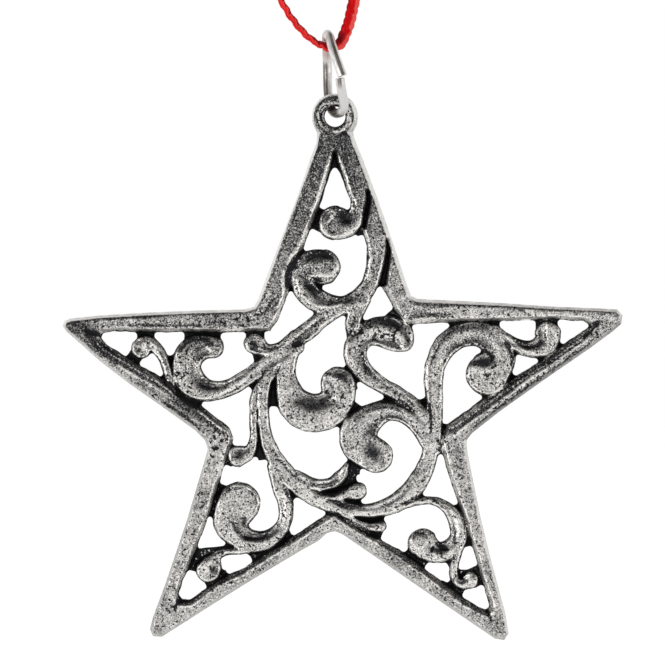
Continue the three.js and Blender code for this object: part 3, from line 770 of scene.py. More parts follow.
fine_furrow_pixels = [
    [(363, 233, 0.8), (366.5, 246, 0.9), (368, 258, 0.9), (367, 270, 0.9), (363, 280, 0.8),
     (355, 290, 0.9)],
    [(411, 303, 1), (430, 305, 1.2), (470, 305.5, 1), (520, 307, 1), (570, 309.5, 1)],
    [(92, 318.5, 0.8), (110, 318, 1), (135, 317, 1), (160, 316, 0.8)],
    [(162, 401.5, 1.2), (180, 413, 1.6), (196, 425, 1.6)],
    [(130, 325, 1.2), (160, 325.5, 1.2), (200, 325.5, 1)],
    [(257, 318, 1), (264, 312, 1), (270, 306, 1)],
    [(410, 317, 1.5), (425, 314.5, 1.8), (445, 315.5, 1.8), (452, 314, 0.8)],
    [(447, 430, 1.2), (452, 430.5, 2.3), (466, 420.5, 2.8), (484, 407, 3.4), (500, 395, 3.8),
     (517, 382.5, 3), (530, 374, 2.2), (543, 365.5, 2.8), (555, 357, 2.8), (566, 350, 2.2),
     (586, 336, 1.5)],
    [(474, 427, 1.1), (485, 418.5, 1.3), (498, 408.5, 1.5), (520, 393, 1.6), (543, 376.5, 1.4),
     (565, 361, 1.1), (588, 345.5, 1)],
    [(87, 334, 2), (94, 341, 3), (104, 350, 4), (119, 361, 3.4), (138, 372, 2.4), (158, 384, 2.4),
     (176, 399, 4.2), (196, 411, 4), (212, 423, 3), (226, 435, 2)],
    [(362, 327, 2), (372, 322, 2.6), (384, 321, 3.6), (395, 324, 3.2), (403, 331, 2.2), (406.5, 339, 2)],
    [(362, 355, 1.3), (365.5, 365, 1.8), (372, 375, 1.8), (382, 383, 1.6), (394, 391, 1.4),
     (406, 398.5, 1.2), (415, 406, 0.8)],
    [(323, 319, 2), (311, 328, 1.4), (299, 337, 1), (290, 343, 0.7)],
    [(357, 316, 1.6), (354, 322, 1.8), (352, 326, 1)],
    [(326, 373.5, 1.5), (334, 374.5, 2), (343, 377, 2), (349, 385, 1.6), (350, 392, 1)],
    [(327, 391, 1.4), (328.5, 397, 1.6), (322, 402, 2.5)],
    [(430, 392, 0.7), (430, 372, 0.7), (432.5, 359, 0.8), (438, 348, 0.9), (446, 339, 0.8)],
    [(443.5, 366, 0.7), (444.5, 358, 0.8)],
    [(441, 370, 0.9), (443, 370, 0.9)],
    [(458, 347, 0.8), (468, 344.5, 1), (477, 345.5, 1), (483, 350, 1)],
    [(470, 364.5, 2), (478, 363, 2.8), (487, 361.5, 4), (493, 357, 2)],
    [(527, 346.5, 2), (536, 347.5, 3), (541, 342, 3)],
    [(440, 343, 2.5), (447, 335, 3), (456, 329.5, 2.5), (470, 327, 1.5), (486, 327, 1.5)],
    [(356, 416, 1.3), (367, 410, 1.4), (380, 407, 1.3), (392, 407.5, 1.3), (404, 413, 1)],
    [(396, 421, 0.8), (406, 425, 0.8), (413, 432, 0.8), (417.5, 441, 0.8)],
    [(222, 492, 3), (228, 488.5, 2.5), (236, 487.5, 1.8), (245, 488.5, 1.2), (252, 493, 1),
     (257, 500, 0.9), (258.5, 506, 0.7)],
    [(233, 522, 0.9), (236, 530, 1.5), (243, 536, 1.8), (252, 539, 1.6), (262, 537, 1.6),
     (270, 531, 1.2)],
    [(303, 481, 1), (312, 484.5, 2), (322, 486.5, 1.8), (332, 483.5, 1.8), (338, 480, 1.2)],
    [(273, 450, 0.8), (280, 460.5, 0.9), (290, 471.5, 1.2), (298, 478, 1.3), (306.5, 483, 1.4)],
    [(358, 509.5, 0.8), (372, 509, 0.8), (386, 505, 0.9), (398, 499, 1.3), (406, 491, 1), (412, 484, 1)],
    [(413, 537, 1.5), (417, 533, 2), (424, 531.5, 2), (430, 534, 1.3)],
    [(452, 524, 1), (454.5, 532, 1.2), (454, 540, 1.2), (456, 543, 0.8)],
    [(433, 501, 0.8), (442, 505, 1), (450, 509, 1)],
    [(257.5, 380, 1), (256.8, 400, 0.8), (257, 420, 0.8)],
    [(181, 348, 2.5), (187, 341, 3), (196, 339, 2.5), (206, 340, 2.2), (213, 345, 2)],
    [(226, 385, 0.8), (238, 379, 0.8), (250, 370, 1), (258, 364, 1)],
    [(138, 343, 1.2), (145, 341, 1.2), (150, 345, 1)],
    [(139, 350, 1.2), (142, 352, 1)],
    [(158, 350, 1), (166, 361, 1)],
    [(252, 342, 1.5), (258, 346, 1.5), (252, 349, 1.2)],
    [(256, 351, 1.2), (264, 351.5, 1.2), (274, 350.5, 1)],
    [(262, 553, 0.7), (280, 546, 0.7), (298, 536.5, 0.7), (312, 528.5, 0.7), (324, 520, 0.7)],
    [(386, 548, 0.8), (400, 557, 0.8), (416, 569, 0.8), (432, 581, 0.8), (448, 593, 0.8)],
    [(209, 559.5, 0.8), (216, 559, 1), (219, 563, 1)],
    [(210, 566, 1), (212, 570, 1.2), (215, 567, 0.8)],
    [(329, 231, 0.7), (334, 234, 0.8), (341, 235, 0.7)],
    [(380, 416, 1), (384, 419, 1.2), (388, 418, 1)],
    [(308, 258, 2.5), (318, 254, 3), (328, 256, 3), (334, 262, 1.6)],
    [(305, 286, 1.6), (313, 288, 2.4), (322, 291, 2)],
]
bright_ridge_pixels = [
    [(329, 102.5, 0.9), (323, 105, 1.1), (319.2, 110, 1.1), (318, 116, 1), (319.5, 122, 0.8)],
    [(325.5, 111.5, 0.8), (323.6, 116, 0.8), (324.5, 121, 0.8), (328, 127, 0.7)],
    [(331, 127.5, 0.6), (335, 131.5, 1.1), (339.5, 132.5, 1.1), (344, 129.5, 1), (347, 124, 0.9),
     (347, 117, 0.6)],
    [(323, 128, 0.6), (327, 132, 0.8), (331, 134.5, 0.6)],
    [(322, 132, 0.5), (326, 136, 0.6)],
    [(341, 104, 0.6), (347, 107, 0.8), (350.5, 112, 0.7)],
    [(350, 117, 0.6), (351, 122, 0.7), (349, 128, 0.6)],
    [(330, 158, 1.2), (326.8, 169, 1.6), (322.8, 182, 1.6), (318.7, 195, 1.6), (314, 208, 1.7),
     (310.5, 216, 1.2)],
    [(307, 226, 1.4), (303.5, 236, 1.8), (298.5, 246, 2), (293.5, 255, 2.2), (288, 263, 1.5)],
    [(339.5, 158, 1), (342.5, 167, 1.4), (346.5, 180, 1.3), (350, 193, 1), (351.5, 204, 1),
     (352.5, 213, 0.8)],
    [(284, 271, 1.3), (282.5, 280, 1.2), (283.5, 292, 1.2), (278.5, 310, 1.4), (274, 323, 1.3)],
    [(321, 222, 1), (323, 230, 1.7), (330, 235.5, 2), (340, 236.5, 2.2), (350, 233, 2), (358, 226, 1.5),
     (362, 215, 1)],
    [(323, 211, 0.8), (329, 209.5, 0.8), (334, 212, 0.8)],
    [(334, 213, 1), (331.5, 218, 1.2), (328, 222, 1)],
    [(365, 231, 0.9), (369, 245, 1.1), (370.5, 256, 1.1), (369, 270, 1.1), (365.5, 281, 1.2),
     (359, 290, 1)],
    [(383, 258, 0.9), (380, 271, 1), (376.5, 282, 1)],
    [(311, 275.5, 1.2), (320, 274.8, 2), (328, 275.5, 2.2), (334.5, 272, 1.4), (337.5, 265, 0.9),
     (335, 257, 0.8), (330, 252.5, 0.7)],
    [(297, 279, 0.8), (300, 290, 1), (305, 299, 1), (314, 305, 1.3), (328, 307, 1.5), (342, 304, 1.3)],
    [(323, 377, 0.8), (323, 372, 0.7), (328, 369, 0.8), (337, 368.5, 0.7)],
    [(352.5, 384, 0.8), (354, 394, 0.9), (351.5, 402, 0.8)],
    [(318, 317.5, 0.6), (305, 328.5, 0.7), (292, 339.5, 0.7), (280, 348.5, 0.7)],
    [(340, 313, 1), (326, 322, 1), (316, 331, 0.8)],
    [(409.5, 331, 0.7), (413, 340, 0.8), (411, 348.5, 1), (400, 350, 1), (388, 349.5, 0.8)],
    [(348.5, 344, 0.8), (346.5, 352, 1), (348, 362, 1)],
    [(366.5, 351, 0.7), (367.5, 361, 0.7), (374, 371, 0.8), (386, 380.5, 0.7), (398, 388.5, 0.7),
     (410, 395, 0.7)],
    [(345.5, 424, 1), (341.5, 432, 0.9), (340.5, 442, 0.9)],
    [(388, 446, 1), (391, 453, 1)],
    [(427.5, 395, 0.7), (427.5, 376, 0.8), (430, 359, 0.8), (436, 346, 0.7), (442, 338, 0.6)],
    [(441.5, 398, 0.6), (442, 385, 0.7), (444, 372, 0.7), (447, 361, 0.8)],
    [(505, 336, 0.8), (513, 342, 1), (522, 349.5, 1.1), (534, 354, 1), (546, 354.5, 0.8)],
    [(450, 426, 0.8), (462, 417.5, 1), (475, 408.5, 1), (486, 401, 0.6)],
    [(453.5, 436, 0.8), (470, 422.5, 0.8), (487, 411, 1), (504, 398, 1.1), (521, 385.7, 1.3),
     (533, 376, 1.4), (545.4, 368.8, 0.8), (567.4, 352.8, 0.9), (590.4, 337.8, 0.8)],
    [(118, 364.5, 0.7), (134.6, 375.1, 1), (158.6, 388.6, 1), (172, 399, 0.6)],
    [(200, 411, 0.6), (212, 421, 0.8), (224, 430, 0.8), (232, 437, 0.8)],
    [(148, 373, 0.6), (160, 382, 0.7)],
    [(192, 336.3, 0.5), (199, 336.3, 0.5)],
    [(182, 340, 0.6), (179.5, 344, 0.6)],
    [(212, 338.5, 0.6), (216, 341, 0.7)],
    [(207, 347, 0.8), (212, 352, 1)],
    [(190, 396, 1.3), (200, 398.5, 1.3), (214, 396.5, 1.5), (228, 391, 1.6), (242, 381, 1.4),
     (252, 373, 1)],
    [(206, 379, 0.5), (214, 382, 0.6), (224, 382.5, 0.6), (236, 377, 0.7), (246, 369, 0.8),
     (254, 362, 0.8)],
    [(135, 344, 0.8), (138, 340, 0.8), (143, 338.5, 0.6)],
    [(143, 350, 0.9), (150, 348, 0.9), (157, 352, 0.8), (163, 363, 0.9), (168, 377, 0.8)],
    [(150, 340, 0.5), (158, 348, 0.6), (166, 357, 0.6)],
    [(247, 343, 0.8), (249, 350, 1), (256, 354.5, 1.3), (266, 355, 1), (276, 350, 0.7)],
    [(267, 410, 0.7), (269, 428, 0.8), (273, 442, 1), (281, 456, 1), (289, 465, 1.1), (297.3, 472.2, 1.2),
     (303.5, 477.2, 1.3), (311.5, 481.5, 1.2), (316, 482.5, 1)],
    [(318, 482.5, 1), (326, 481.5, 1.2), (334, 479, 1), (340, 473, 1), (343.5, 468, 0.8)],
    [(314, 487.5, 0.5), (322, 489.5, 0.6), (332, 488.5, 0.7), (341, 484.5, 0.8), (348, 478.5, 0.8)],
    [(360, 482, 0.6), (364, 486, 0.9), (364, 492, 0.9)],
    [(230, 485.5, 0.6), (238, 485.5, 0.9), (247, 486.5, 0.9), (254, 491, 0.9), (258, 498, 1),
     (259.5, 505, 0.9)],
    [(252, 533, 0.5), (257, 532, 0.8)],
    [(270, 527, 0.6), (275, 522, 0.8), (278.5, 516, 0.7)],
    [(241, 521, 0.7), (241, 526, 0.7)],
    [(360, 506.5, 0.8), (372, 506, 0.9), (384, 501.5, 0.9), (394, 497, 0.8), (402, 492, 0.7)],
    [(412, 544, 0.6), (411, 538, 0.8), (414, 531.5, 0.8), (421, 528.5, 0.8), (428, 529.5, 0.7)],
    [(404, 505, 0.5), (414, 503.5, 0.7), (426, 503, 0.7)],
    [(434, 503, 0.6), (443, 510, 0.8)],
    [(452, 536, 0.7), (451, 542, 0.7)],
    [(456, 587, 0.8), (462, 590.5, 0.8), (468, 589.5, 0.6)],
    [(467, 575, 0.6), (471, 572, 0.6)],
    [(240, 571, 0.6), (252, 563, 0.6)],
    [(296, 539, 0.5), (308, 532, 0.5), (318, 525, 0.6), (326, 518.5, 0.8)],
    [(420, 572, 0.5), (432, 581, 0.6), (441, 588, 0.7)],
    [(203, 556, 0.8), (210, 552, 1), (218, 551, 1)],
]
# Scratches, from end to end.
scratch_pixels = [
    (369, 426, 372, 437), (372, 425, 375, 436), (375, 425, 378, 434), (368, 431, 377, 429),
    (467, 338, 474, 346), (471, 336, 479, 345), (476, 337, 483, 347), (468, 350, 476, 341),
    (480, 352, 487, 345), (484, 374, 500, 374), (486, 379, 497, 378), (327, 381, 333, 388),
    (333, 400, 337, 406), (322, 388, 328, 392), (300, 276, 308, 280), (306, 283, 318, 280),
    (268, 306, 276, 298), (271, 310, 279, 301), (275, 313, 282, 304), (455, 450, 459, 452),
    (456, 458, 461, 461), (457, 466, 462, 469), (459, 474, 464, 477), (200, 510, 206, 502),
    (520, 310, 530, 316), (540, 309, 549, 317), (390, 330, 396, 334), (440, 550, 446, 541),
]
# Where more blackening stayed (above 0) or was rubbed off (below 0): long spots, each with its middle,
# half length, half width, turn in degrees and amount.
patina_pixels = [
    (150, 384, 85, 11, 36, 0.12), (85, 336, 30, 10, 30, 0.3), (332, 150, 26, 22, 0, 0.15),
    (356, 190, 9, 50, -20, 0.02), (302, 225, 9, 60, 20, 0.2), (510, 313, 90, 9, 3, -0.25),
    (560, 360, 60, 7, -35, 0.05), (346, 216, 9, 7, 0, 0.2), (285, 370, 8, 22, 0, -0.1),
    (314, 112, 8, 20, 0, 0.1), (330, 505, 70, 9, 12, -0.1), (465, 575, 13, 12, 0, -0.5),
    (440, 515, 30, 12, 30, -0.2), (200, 345, 22, 8, 0, 0.3), (235, 325, 22, 8, 0, 0.12),
    (598, 322, 24, 8, -30, 0.1), (220, 440, 20, 18, 0, -0.1), (436, 542, 26, 20, 20, -0.15),
    (214, 568, 12, 10, 0, -0.15), (398, 335, 28, 20, 0, -0.32), (478, 350, 34, 32, 0, -0.06),
    (368, 524, 16, 8, 15, -0.35), (143, 350, 14, 16, 0, -0.4), (370, 508, 16, 8, 0, -0.2),
    (542, 340, 14, 14, 0, -0.1), (346, 322, 16, 14, 0, -0.12), (72, 325, 16, 8, 20, 0.25),
    (158, 386, 66, 5, 35, 0.1), (512, 387, 75, 4.5, -34.5, 0.25), (272, 300, 8, 26, 20, 0.2),
    (124, 321, 34, 6, 0, 0.1), (182, 413, 30, 5, 35, 0.25), (335, 117, 24, 22, 0, 0.2),
    (378, 444, 16, 16, 0, 0.12), (186, 372, 14, 20, 0, 0.1), (322, 268, 28, 26, 0, 0.12),
    (434, 375, 10, 30, 0, -0.15),
]
# Where the casting is pitted, as spots of the same kind.
pitted_pixels = [
    (184, 372, 15, 24, 0, 1), (395, 330, 24, 12, 10, 1), (362, 345, 12, 18, 0, 0.8),
    (545, 372, 70, 9, -35, 0.8), (214, 438, 16, 20, 0, 1), (484, 372, 22, 18, 0, 0.5),
    (240, 320, 34, 10, 0, 0.9), (196, 545, 12, 30, -70, 0.5), (345, 402, 20, 14, 0, 0.5),
    (268, 225, 12, 60, 20, 0.3), (160, 608, 14, 14, 0, 0.6), (447, 440, 12, 20, 0, 0.6),
]
# Hollows in the scrolls, as spots of the same kind with their depth in millimetres.
hollow_pixels = [
    (344.5, 217, 8, 9.5, 0, 0.3), (327, 215, 7, 4, 50, 0.12), (322, 255, 14, 5, -8, 0.25),
    (314, 291, 5, 13, -38, 0.26), (317, 282, 5, 4, -20, 0.3), (342, 298, 19, 4.5, -6, 0.2),
    (369, 240, 3, 30, 4, 0.14), (313, 401, 19, 6.5, 4, 0.32), (341, 373, 11, 4.5, 18, 0.25),
    (373.5, 451, 10, 7.5, 15, 0.32), (374, 432, 4, 9, -12, 0.2), (393, 323, 16, 5.5, 16, 0.28),
    (408, 338, 4, 9, -10, 0.24), (371, 349, 5, 12, 8, 0.16), (484, 361, 10, 5, 8, 0.25),
    (474, 346, 9, 4, 25, 0.16), (206, 382, 12, 8, 25, 0.3), (199, 349, 8, 3.5, -30, 0.2),
    (228, 393, 16, 4, -22, 0.2), (258, 533, 17, 4.5, -12, 0.28), (243, 522, 6, 5, 30, 0.3),
    (272, 520, 4, 11, 25, 0.24), (441, 548, 7, 5, 12, 0.26), (424, 533, 8, 3, 12, 0.12),
    (463, 577, 5, 4, 0, 0.24), (214.5, 568, 5, 6, 0, 0.26), (239, 453, 6, 5, 0, 0.28),
    (253, 344, 5, 7, 0, 0.22), (138, 350, 4, 7, 20, 0.2), (540, 334, 4, 7, 0, 0.22),
    (517, 344, 14, 3.5, 14, 0.2), (424, 346, 3.5, 14, 22, 0.14), (300, 340, 30, 3.5, -38, 0.14),
    (276, 362, 26, 3, -28, 0.14), (345, 160, 4, 12, 0, 0.1), (90, 327, 14, 6, 20, 0.12),
]


def in_plane(x, y):
    """A place in the picture as millimetres right of and above the star's eye."""
    return (x - EYE_CENTRE_PIXELS[0]) * MM_PER_PIXEL, (EYE_CENTRE_PIXELS[1] - y) * MM_PER_PIXEL


def ramp(value, low, high):
    """Runs smoothly from 0 to 1 as the value goes from low to high."""
    t = np.clip((value - low) / (high - low), 0, 1)
    return t * t * (3 - 2 * t)


def bell(value, middle, width):
    """1 at the middle, falling off on both sides."""
    return np.exp(-(((value - middle) / width) ** 2))


QUARTER_SHARE = 0.96


def rounded(deep, width):
    """How far, of 1, a surface falls at an edge along nearly a quarter round of that width."""
    t = 1 - np.clip(deep / width, 0, 1)
    return (1 - np.sqrt(1 - QUARTER_SHARE * t * t)) / (1 - math.sqrt(1 - QUARTER_SHARE))


def outline_depth(outline):
    """Distance of each grid place from a closed outline, positive inside it."""
    nearest = np.full_like(U, np.inf)
    inside = np.zeros(U.shape, bool)
    for (x0, y0), (x1, y1) in zip(outline, np.roll(outline, -1, axis=0)):
        du, dv = x1 - x0, y1 - y0
        t = np.clip(((U - x0) * du + (V - y0) * dv) / (du * du + dv * dv), 0, 1)
        nearest = np.minimum(nearest, (U - x0 - du * t) ** 2 + (V - y0 - dv * t) ** 2)
        if y0 != y1:
            inside ^= ((y0 > V) != (y1 > V)) & (U < x0 + (V - y0) * du / (y1 - y0))
    return np.where(inside, 1, -1) * np.sqrt(nearest)


LINE_REACH = 1.5


def stroke(line, bends=None):
    """How deep each grid place lies in a line of swelling width, how far across it and its bend there."""
    deep = np.full_like(U, -FAR)
    across = np.zeros_like(U)
    bend = np.zeros_like(U)
    bends = np.zeros(len(line)) if bends is None else bends
    for i, (a, b) in enumerate(zip(line, line[1:])):
        reach = max(a[2], b[2]) + LINE_REACH
        columns = slice(*np.searchsorted(grid_u, [min(a[0], b[0]) - reach, max(a[0], b[0]) + reach]))
        rows = slice(*np.searchsorted(grid_v, [min(a[1], b[1]) - reach, max(a[1], b[1]) + reach]))
        u, v = U[rows, columns] - a[0], V[rows, columns] - a[1]
        du, dv = b[0] - a[0], b[1] - a[1]
        t = np.clip((u * du + v * dv) / max(du * du + dv * dv, 1e-12), 0, 1)
        width = a[2] + (b[2] - a[2]) * t
        here = width - np.hypot(u - du * t, v - dv * t)
        better = here > deep[rows, columns]
        for field, value in (
            (deep, here),
            (across, (du * v - dv * u) / max(math.hypot(du, dv), 1e-9) / width),
            (bend, bends[i] + (bends[i + 1] - bends[i]) * t),
        ):
            field[rows, columns] = np.where(better, value, field[rows, columns])
    return deep, across, bend


def block(x0, y0, x1, y1, half):
    """How deep each grid place lies in a straight bar with square ends."""
    (u0, v0), (u1, v1) = in_plane(x0, y0), in_plane(x1, y1)
    length = math.hypot(u1 - u0, v1 - v0)
    du, dv = (u1 - u0) / length, (v1 - v0) / length
    u, v = U - (u0 + u1) / 2, V - (v0 + v1) / 2
    past_end = length / 2 - np.abs(u * du + v * dv)
    past_side = half * MM_PER_PIXEL - np.abs(du * v - dv * u)
    outside = np.hypot(np.minimum(past_end, 0), np.minimum(past_side, 0))
    return np.where(outside > 0, -outside, np.minimum(past_end, past_side))


def blurred(values, rounds):
    """Each grid place mixed with those beside it, again and again."""
    for _ in range(rounds):
        for axis in (0, 1):
            values = (np.roll(values, 1, axis) + 2 * values + np.roll(values, -1, axis)) / 4
    return values


def shifted(values, du, dv):
    """The values found that far right of and above each grid place."""
    columns, rows = math.floor(du / GRID), math.floor(dv / GRID)
    s, t = du / GRID - columns, dv / GRID - rows
    near = np.roll(values, (-rows, -columns), (0, 1))
    right = np.roll(near, -1, 1)
    return (1 - t) * ((1 - s) * near + s * right) + t * np.roll((1 - s) * near + s * right, -1, 0)


FILLET_WAYS = 48


def filleted(field, radius):
    """The outline with every notch narrower than the fillet filled: widened, then narrowed again."""
    made = np.full_like(field, FAR)
    for i in range(FILLET_WAYS):
        angle = i * 2 * math.pi / FILLET_WAYS
        made = np.minimum(made, shifted(field, radius * math.cos(angle), radius * math.sin(angle)) + radius)
    return np.maximum(field, np.minimum(made, radius))


def lay(piece_height, piece_depth):
    """Adds a piece to the relief: what stands highest shows, and the edge that shows is its own."""
    global height, depth, edge, from_rim
    wins = (piece_depth > -GRID) & (piece_height > height)
    edge = np.where(wins, piece_depth, edge)
    from_rim = np.where(wins, FAR, from_rim)
    height = np.where(wins, piece_height, height)
    depth = np.maximum(depth, piece_depth)


def line_of(points):
    """A line's places and half widths in millimetres."""
    return np.array([(*in_plane(x, y), half * MM_PER_PIXEL) for x, y, half in points])


outer_line = np.array([in_plane(x, y) for x, y in outer_pixels])
grid_u = np.arange(outer_line[:, 0].min() - MARGIN, outer_line[:, 0].max() + MARGIN, GRID)
grid_v = np.arange(outer_line[:, 1].min() - MARGIN, EYE_RADIUS / MM + MARGIN, GRID)
U, V = np.meshgrid(grid_u, grid_v)
height = np.zeros_like(U)
depth = np.full_like(U, -FAR)
edge = np.zeros_like(U)
dark = np.zeros_like(U)
from_rim = np.full_like(U, FAR)


def uneven(seed, rounds):
    """A smooth random surface, mostly from -1 to 1."""
    values = blurred(np.random.default_rng(seed).standard_normal(U.shape), rounds)
    return values / (2 * values.std())


# The casting's edges aren't true: they wander a little.
wander = EDGE_WANDER * uneven(seed=3, rounds=14)

# The frame and the eye are one body with one outline, blended at the neck, and open in the middle and
# at the eye's hole. A dark line follows behind the bright rim.
radius = np.hypot(U, V)
outer = NECK_BLEND * np.log(sum(
    np.exp(np.clip(inside_by, -FAR, NECK_DEEP) / NECK_BLEND)
    for inside_by in (EYE_RADIUS / MM - radius, outline_depth(outer_line))
))
opening = -outline_depth(np.array([in_plane(x, y) for x, y in inner_pixels]))
opening += OPENING_WANDER_SHARE * wander
hole = radius - EYE_HOLE_RADIUS
body_depth = np.minimum(np.minimum(outer, opening), hole)
body = (
    FRAME_THICKNESS
    - EYE_FALL * ramp(-radius, -EYE_HIGH_RADIUS, -EYE_LOW_RADIUS)
    - FRAME_FALL * (1 - np.clip(outer / OUTER_DRAFT, 0, 1))
    - FRAME_FALL * (1 - np.clip(opening / INNER_DRAFT, 0, 1))
    - EYE_HOLE_FALL * rounded(hole, EYE_HOLE_ROUND)
    - EYE_LINE_DEPTH * bell(radius, EYE_LINE_RADIUS, EYE_LINE_WIDTH)
)
lay(np.where(body_depth > -GRID, body, 0), body_depth)
edge = np.where(body_depth > -GRID, np.minimum(opening, hole), edge)
wider_rim = (
    0.15 * ramp(U, 0, 2) * ramp(V, -22, -20)
    - 0.16 * ramp(-U, 2, 4) * ramp(V, -18, -13)
    - 0.11 * ramp(-U, -1.8, 0.4) * ramp(V, -4.5, -3)
)
from_rim = np.where(body_depth > -GRID, outer - wider_rim, FAR)
# Painted shade: a dark line behind the bright rim, darker towards the top.
dark = np.maximum(dark, (0.1 + 0.5 * ramp(V, -30, -20)) * bell(outer, RIM_WIDTH, 0.1))

for web in web_pixels:
    deep = block(*web) + wander
    lay(np.where(deep > -GRID, WEB_HEIGHT, 0), deep)

# Each scroll is a rounded band. Where it bends, it falls to its outer side and has a channel inside.
for points in scroll_pixels.values():
    line = smooth_route(line_of(points), 3 * GRID)
    steps = np.diff(line[:, :2], axis=0)
    heading = np.unwrap(np.arctan2(steps[:, 1], steps[:, 0]))
    heading = np.interp(np.arange(len(line)), np.arange(len(heading)) + 0.5, heading)
    bends = np.gradient(heading, travelled(line[:, :2]))
    for _ in range(BEND_ROUNDS):
        bends = np.convolve(np.pad(bends, 1, "edge"), (0.25, 0.5, 0.25), "valid")
    deep, across, bend = stroke(line, np.clip(bends / FULL_BEND, -1, 1))
    deep = deep + wander
    inward = across * bend
    channel = bell(inward, CHANNEL_PLACE_SHARE, CHANNEL_WIDTH_SHARE) * np.abs(bend) * ramp(deep, 0.1, 0.35)
    made = SCROLL_HEIGHT - SCROLL_DROP * rounded(deep, SCROLL_EDGE) - CHANNEL_DEPTH * channel
    made = made - OUTER_SIDE_FALL * (1 - ramp(inward, -1.1, -0.1))
    lay(np.where(deep > -GRID, made, 0), deep)
    # Painted shade in each bend's channel and on its inner side, with patina in the channel too.
    shade = np.maximum(channel * 0.6, 0.38 * ramp(inward, -0.3, 0.7) * np.abs(bend)) - 0.12
    dark = np.where(edge == deep, shade, dark)

# Close to the eye's hole, the outline is the hole's own.
depth = np.where(hole < CLOSE_TO_HOLE, np.minimum(depth, hole), depth)
in_groove = np.zeros_like(U)
for points in groove_pixels:
    deep = stroke(smooth_route(line_of(points), GRID))[0]
    in_groove = np.maximum(in_groove, ramp(deep, -0.08, 0.04))
    height = np.minimum(height, WEB_HEIGHT + (SCROLL_HEIGHT - WEB_HEIGHT) * ramp(-deep, -0.05, 0.2))


def from_spot(x, y, half_length, half_width, angle):
    """How far each grid place lies from a long spot's middle, squared, where 1 is the spot's edge."""
    u, v = in_plane(x, y)
    cosine, sine = math.cos(math.radians(angle)), math.sin(math.radians(angle))
    p = ((U - u) * cosine - (V - v) * sine) / (half_length * MM_PER_PIXEL)
    q = ((U - u) * sine + (V - v) * cosine) / (half_width * MM_PER_PIXEL)
    return p * p + q * q


def spread_over(spots):
    """Flat-topped spots, each of its own amount, added up."""
    return sum(amount * np.exp(-(from_spot(*spot) ** 2) * 0.7) for *spot, amount in spots)


BLACK_HOLLOW = 0.26
hollowed = np.zeros_like(U)
for *spot, fall in hollow_pixels:
    bowl = np.exp(-1.2 * from_spot(*spot))
    height = np.where(height > ABOVE_WEBS, height - fall * bowl, height)
    hollowed = np.maximum(hollowed, bowl * fall / BLACK_HOLLOW)
# The hollows are blackened: patina in them, and painted shade.
dark = np.maximum(dark, hollowed)
cut = np.zeros_like(U)
for lines, amount in (
    (black_furrow_pixels, BLACK_LINE),
    (fine_furrow_pixels, FINE_LINE),
    (bright_ridge_pixels, BRIGHT_LINE),
):
    drawn_lines = np.zeros_like(U)
    for points in lines:
        deep = stroke(smooth_route(line_of(points), 2 * GRID))[0] + wander
        drawn_lines = np.maximum(drawn_lines, ramp(deep, -0.08, 0.05))
    cut += amount * drawn_lines
height = np.where(height > ABOVE_WEBS, height - LINE_DEPTH * np.clip(cut, -1, BLACK_LINE), height)
for x0, y0, x1, y1 in scratch_pixels:
    ends = [(*in_plane(x0, y0), SCRATCH_START), (*in_plane(x1, y1), SCRATCH_END)]
    deep = stroke(np.array(ends))[0]
    dark = np.maximum(dark, 0.8 * ramp(deep, -0.16, 0.0))

stayed = spread_over(patina_pixels)
pitted = spread_over(pitted_pixels)

# The notches between pieces are filleted at the webs' height.
plain = depth
depth = filleted(depth, WEB_FILLET)
height = np.where((depth > -GRID) & (plain < 0), np.maximum(height, WEB_HEIGHT), height)


def spread_out(values, known, rounds):
    """Carries values from known grid places to the places beside them."""
    values, known = values.copy(), known.copy()
    for _ in range(rounds):
        total = np.zeros_like(values)
        count = np.zeros_like(values)
        for shift in ((0, 1), (0, -1), (1, 0), (-1, 0)):
            total += np.roll(np.where(known, values, 0), shift, (0, 1))
            count += np.roll(known, shift, (0, 1))
        fresh = ~known & (count > 0)
        values[fresh] = total[fresh] / count[fresh]
        known |= fresh
    return values


# The casting's faces aren't true either.
inside = depth > 0
height = spread_out(height, inside, 5)
height = blurred(height, 1) + np.where(height > ABOVE_WEBS, FACE_WANDER * uneven(seed=8, rounds=9), 0)
edge = spread_out(edge, inside, 5)
rise_v, rise_u = np.gradient(height, GRID)
facing_up = -rise_v / np.sqrt(1 + rise_u**2 + rise_v**2)
within_frame = (opening < 1) & (outer > 0)
sunk = 1 - ramp(height, 0.95, 1.3)
# How black the patina is, with painted shade in it: 0 where the metal is rubbed bright, and 1 and more where
# it's black.
patina = (
    1.7 * sunk * within_frame
    # Slopes that face up: patina and painted shade.
    + 0.62 * ramp(facing_up, 0.36, 0.7) * ramp(outer, 0.6, 0.9) * ramp(radius, 3.6, 4.2)
    + 0.82 * dark
    + stayed
    + cut
    + 1.5 * in_groove
    # Painted shade: darker towards the top.
    + 0.18 * ramp(V, -48, -20)
    + 0.38 * ramp(V, -24, -4)
    - 0.05 * (from_rim == FAR)
    + 0.12 * ramp(-V, 30, 36) * (from_rim < FAR)
)
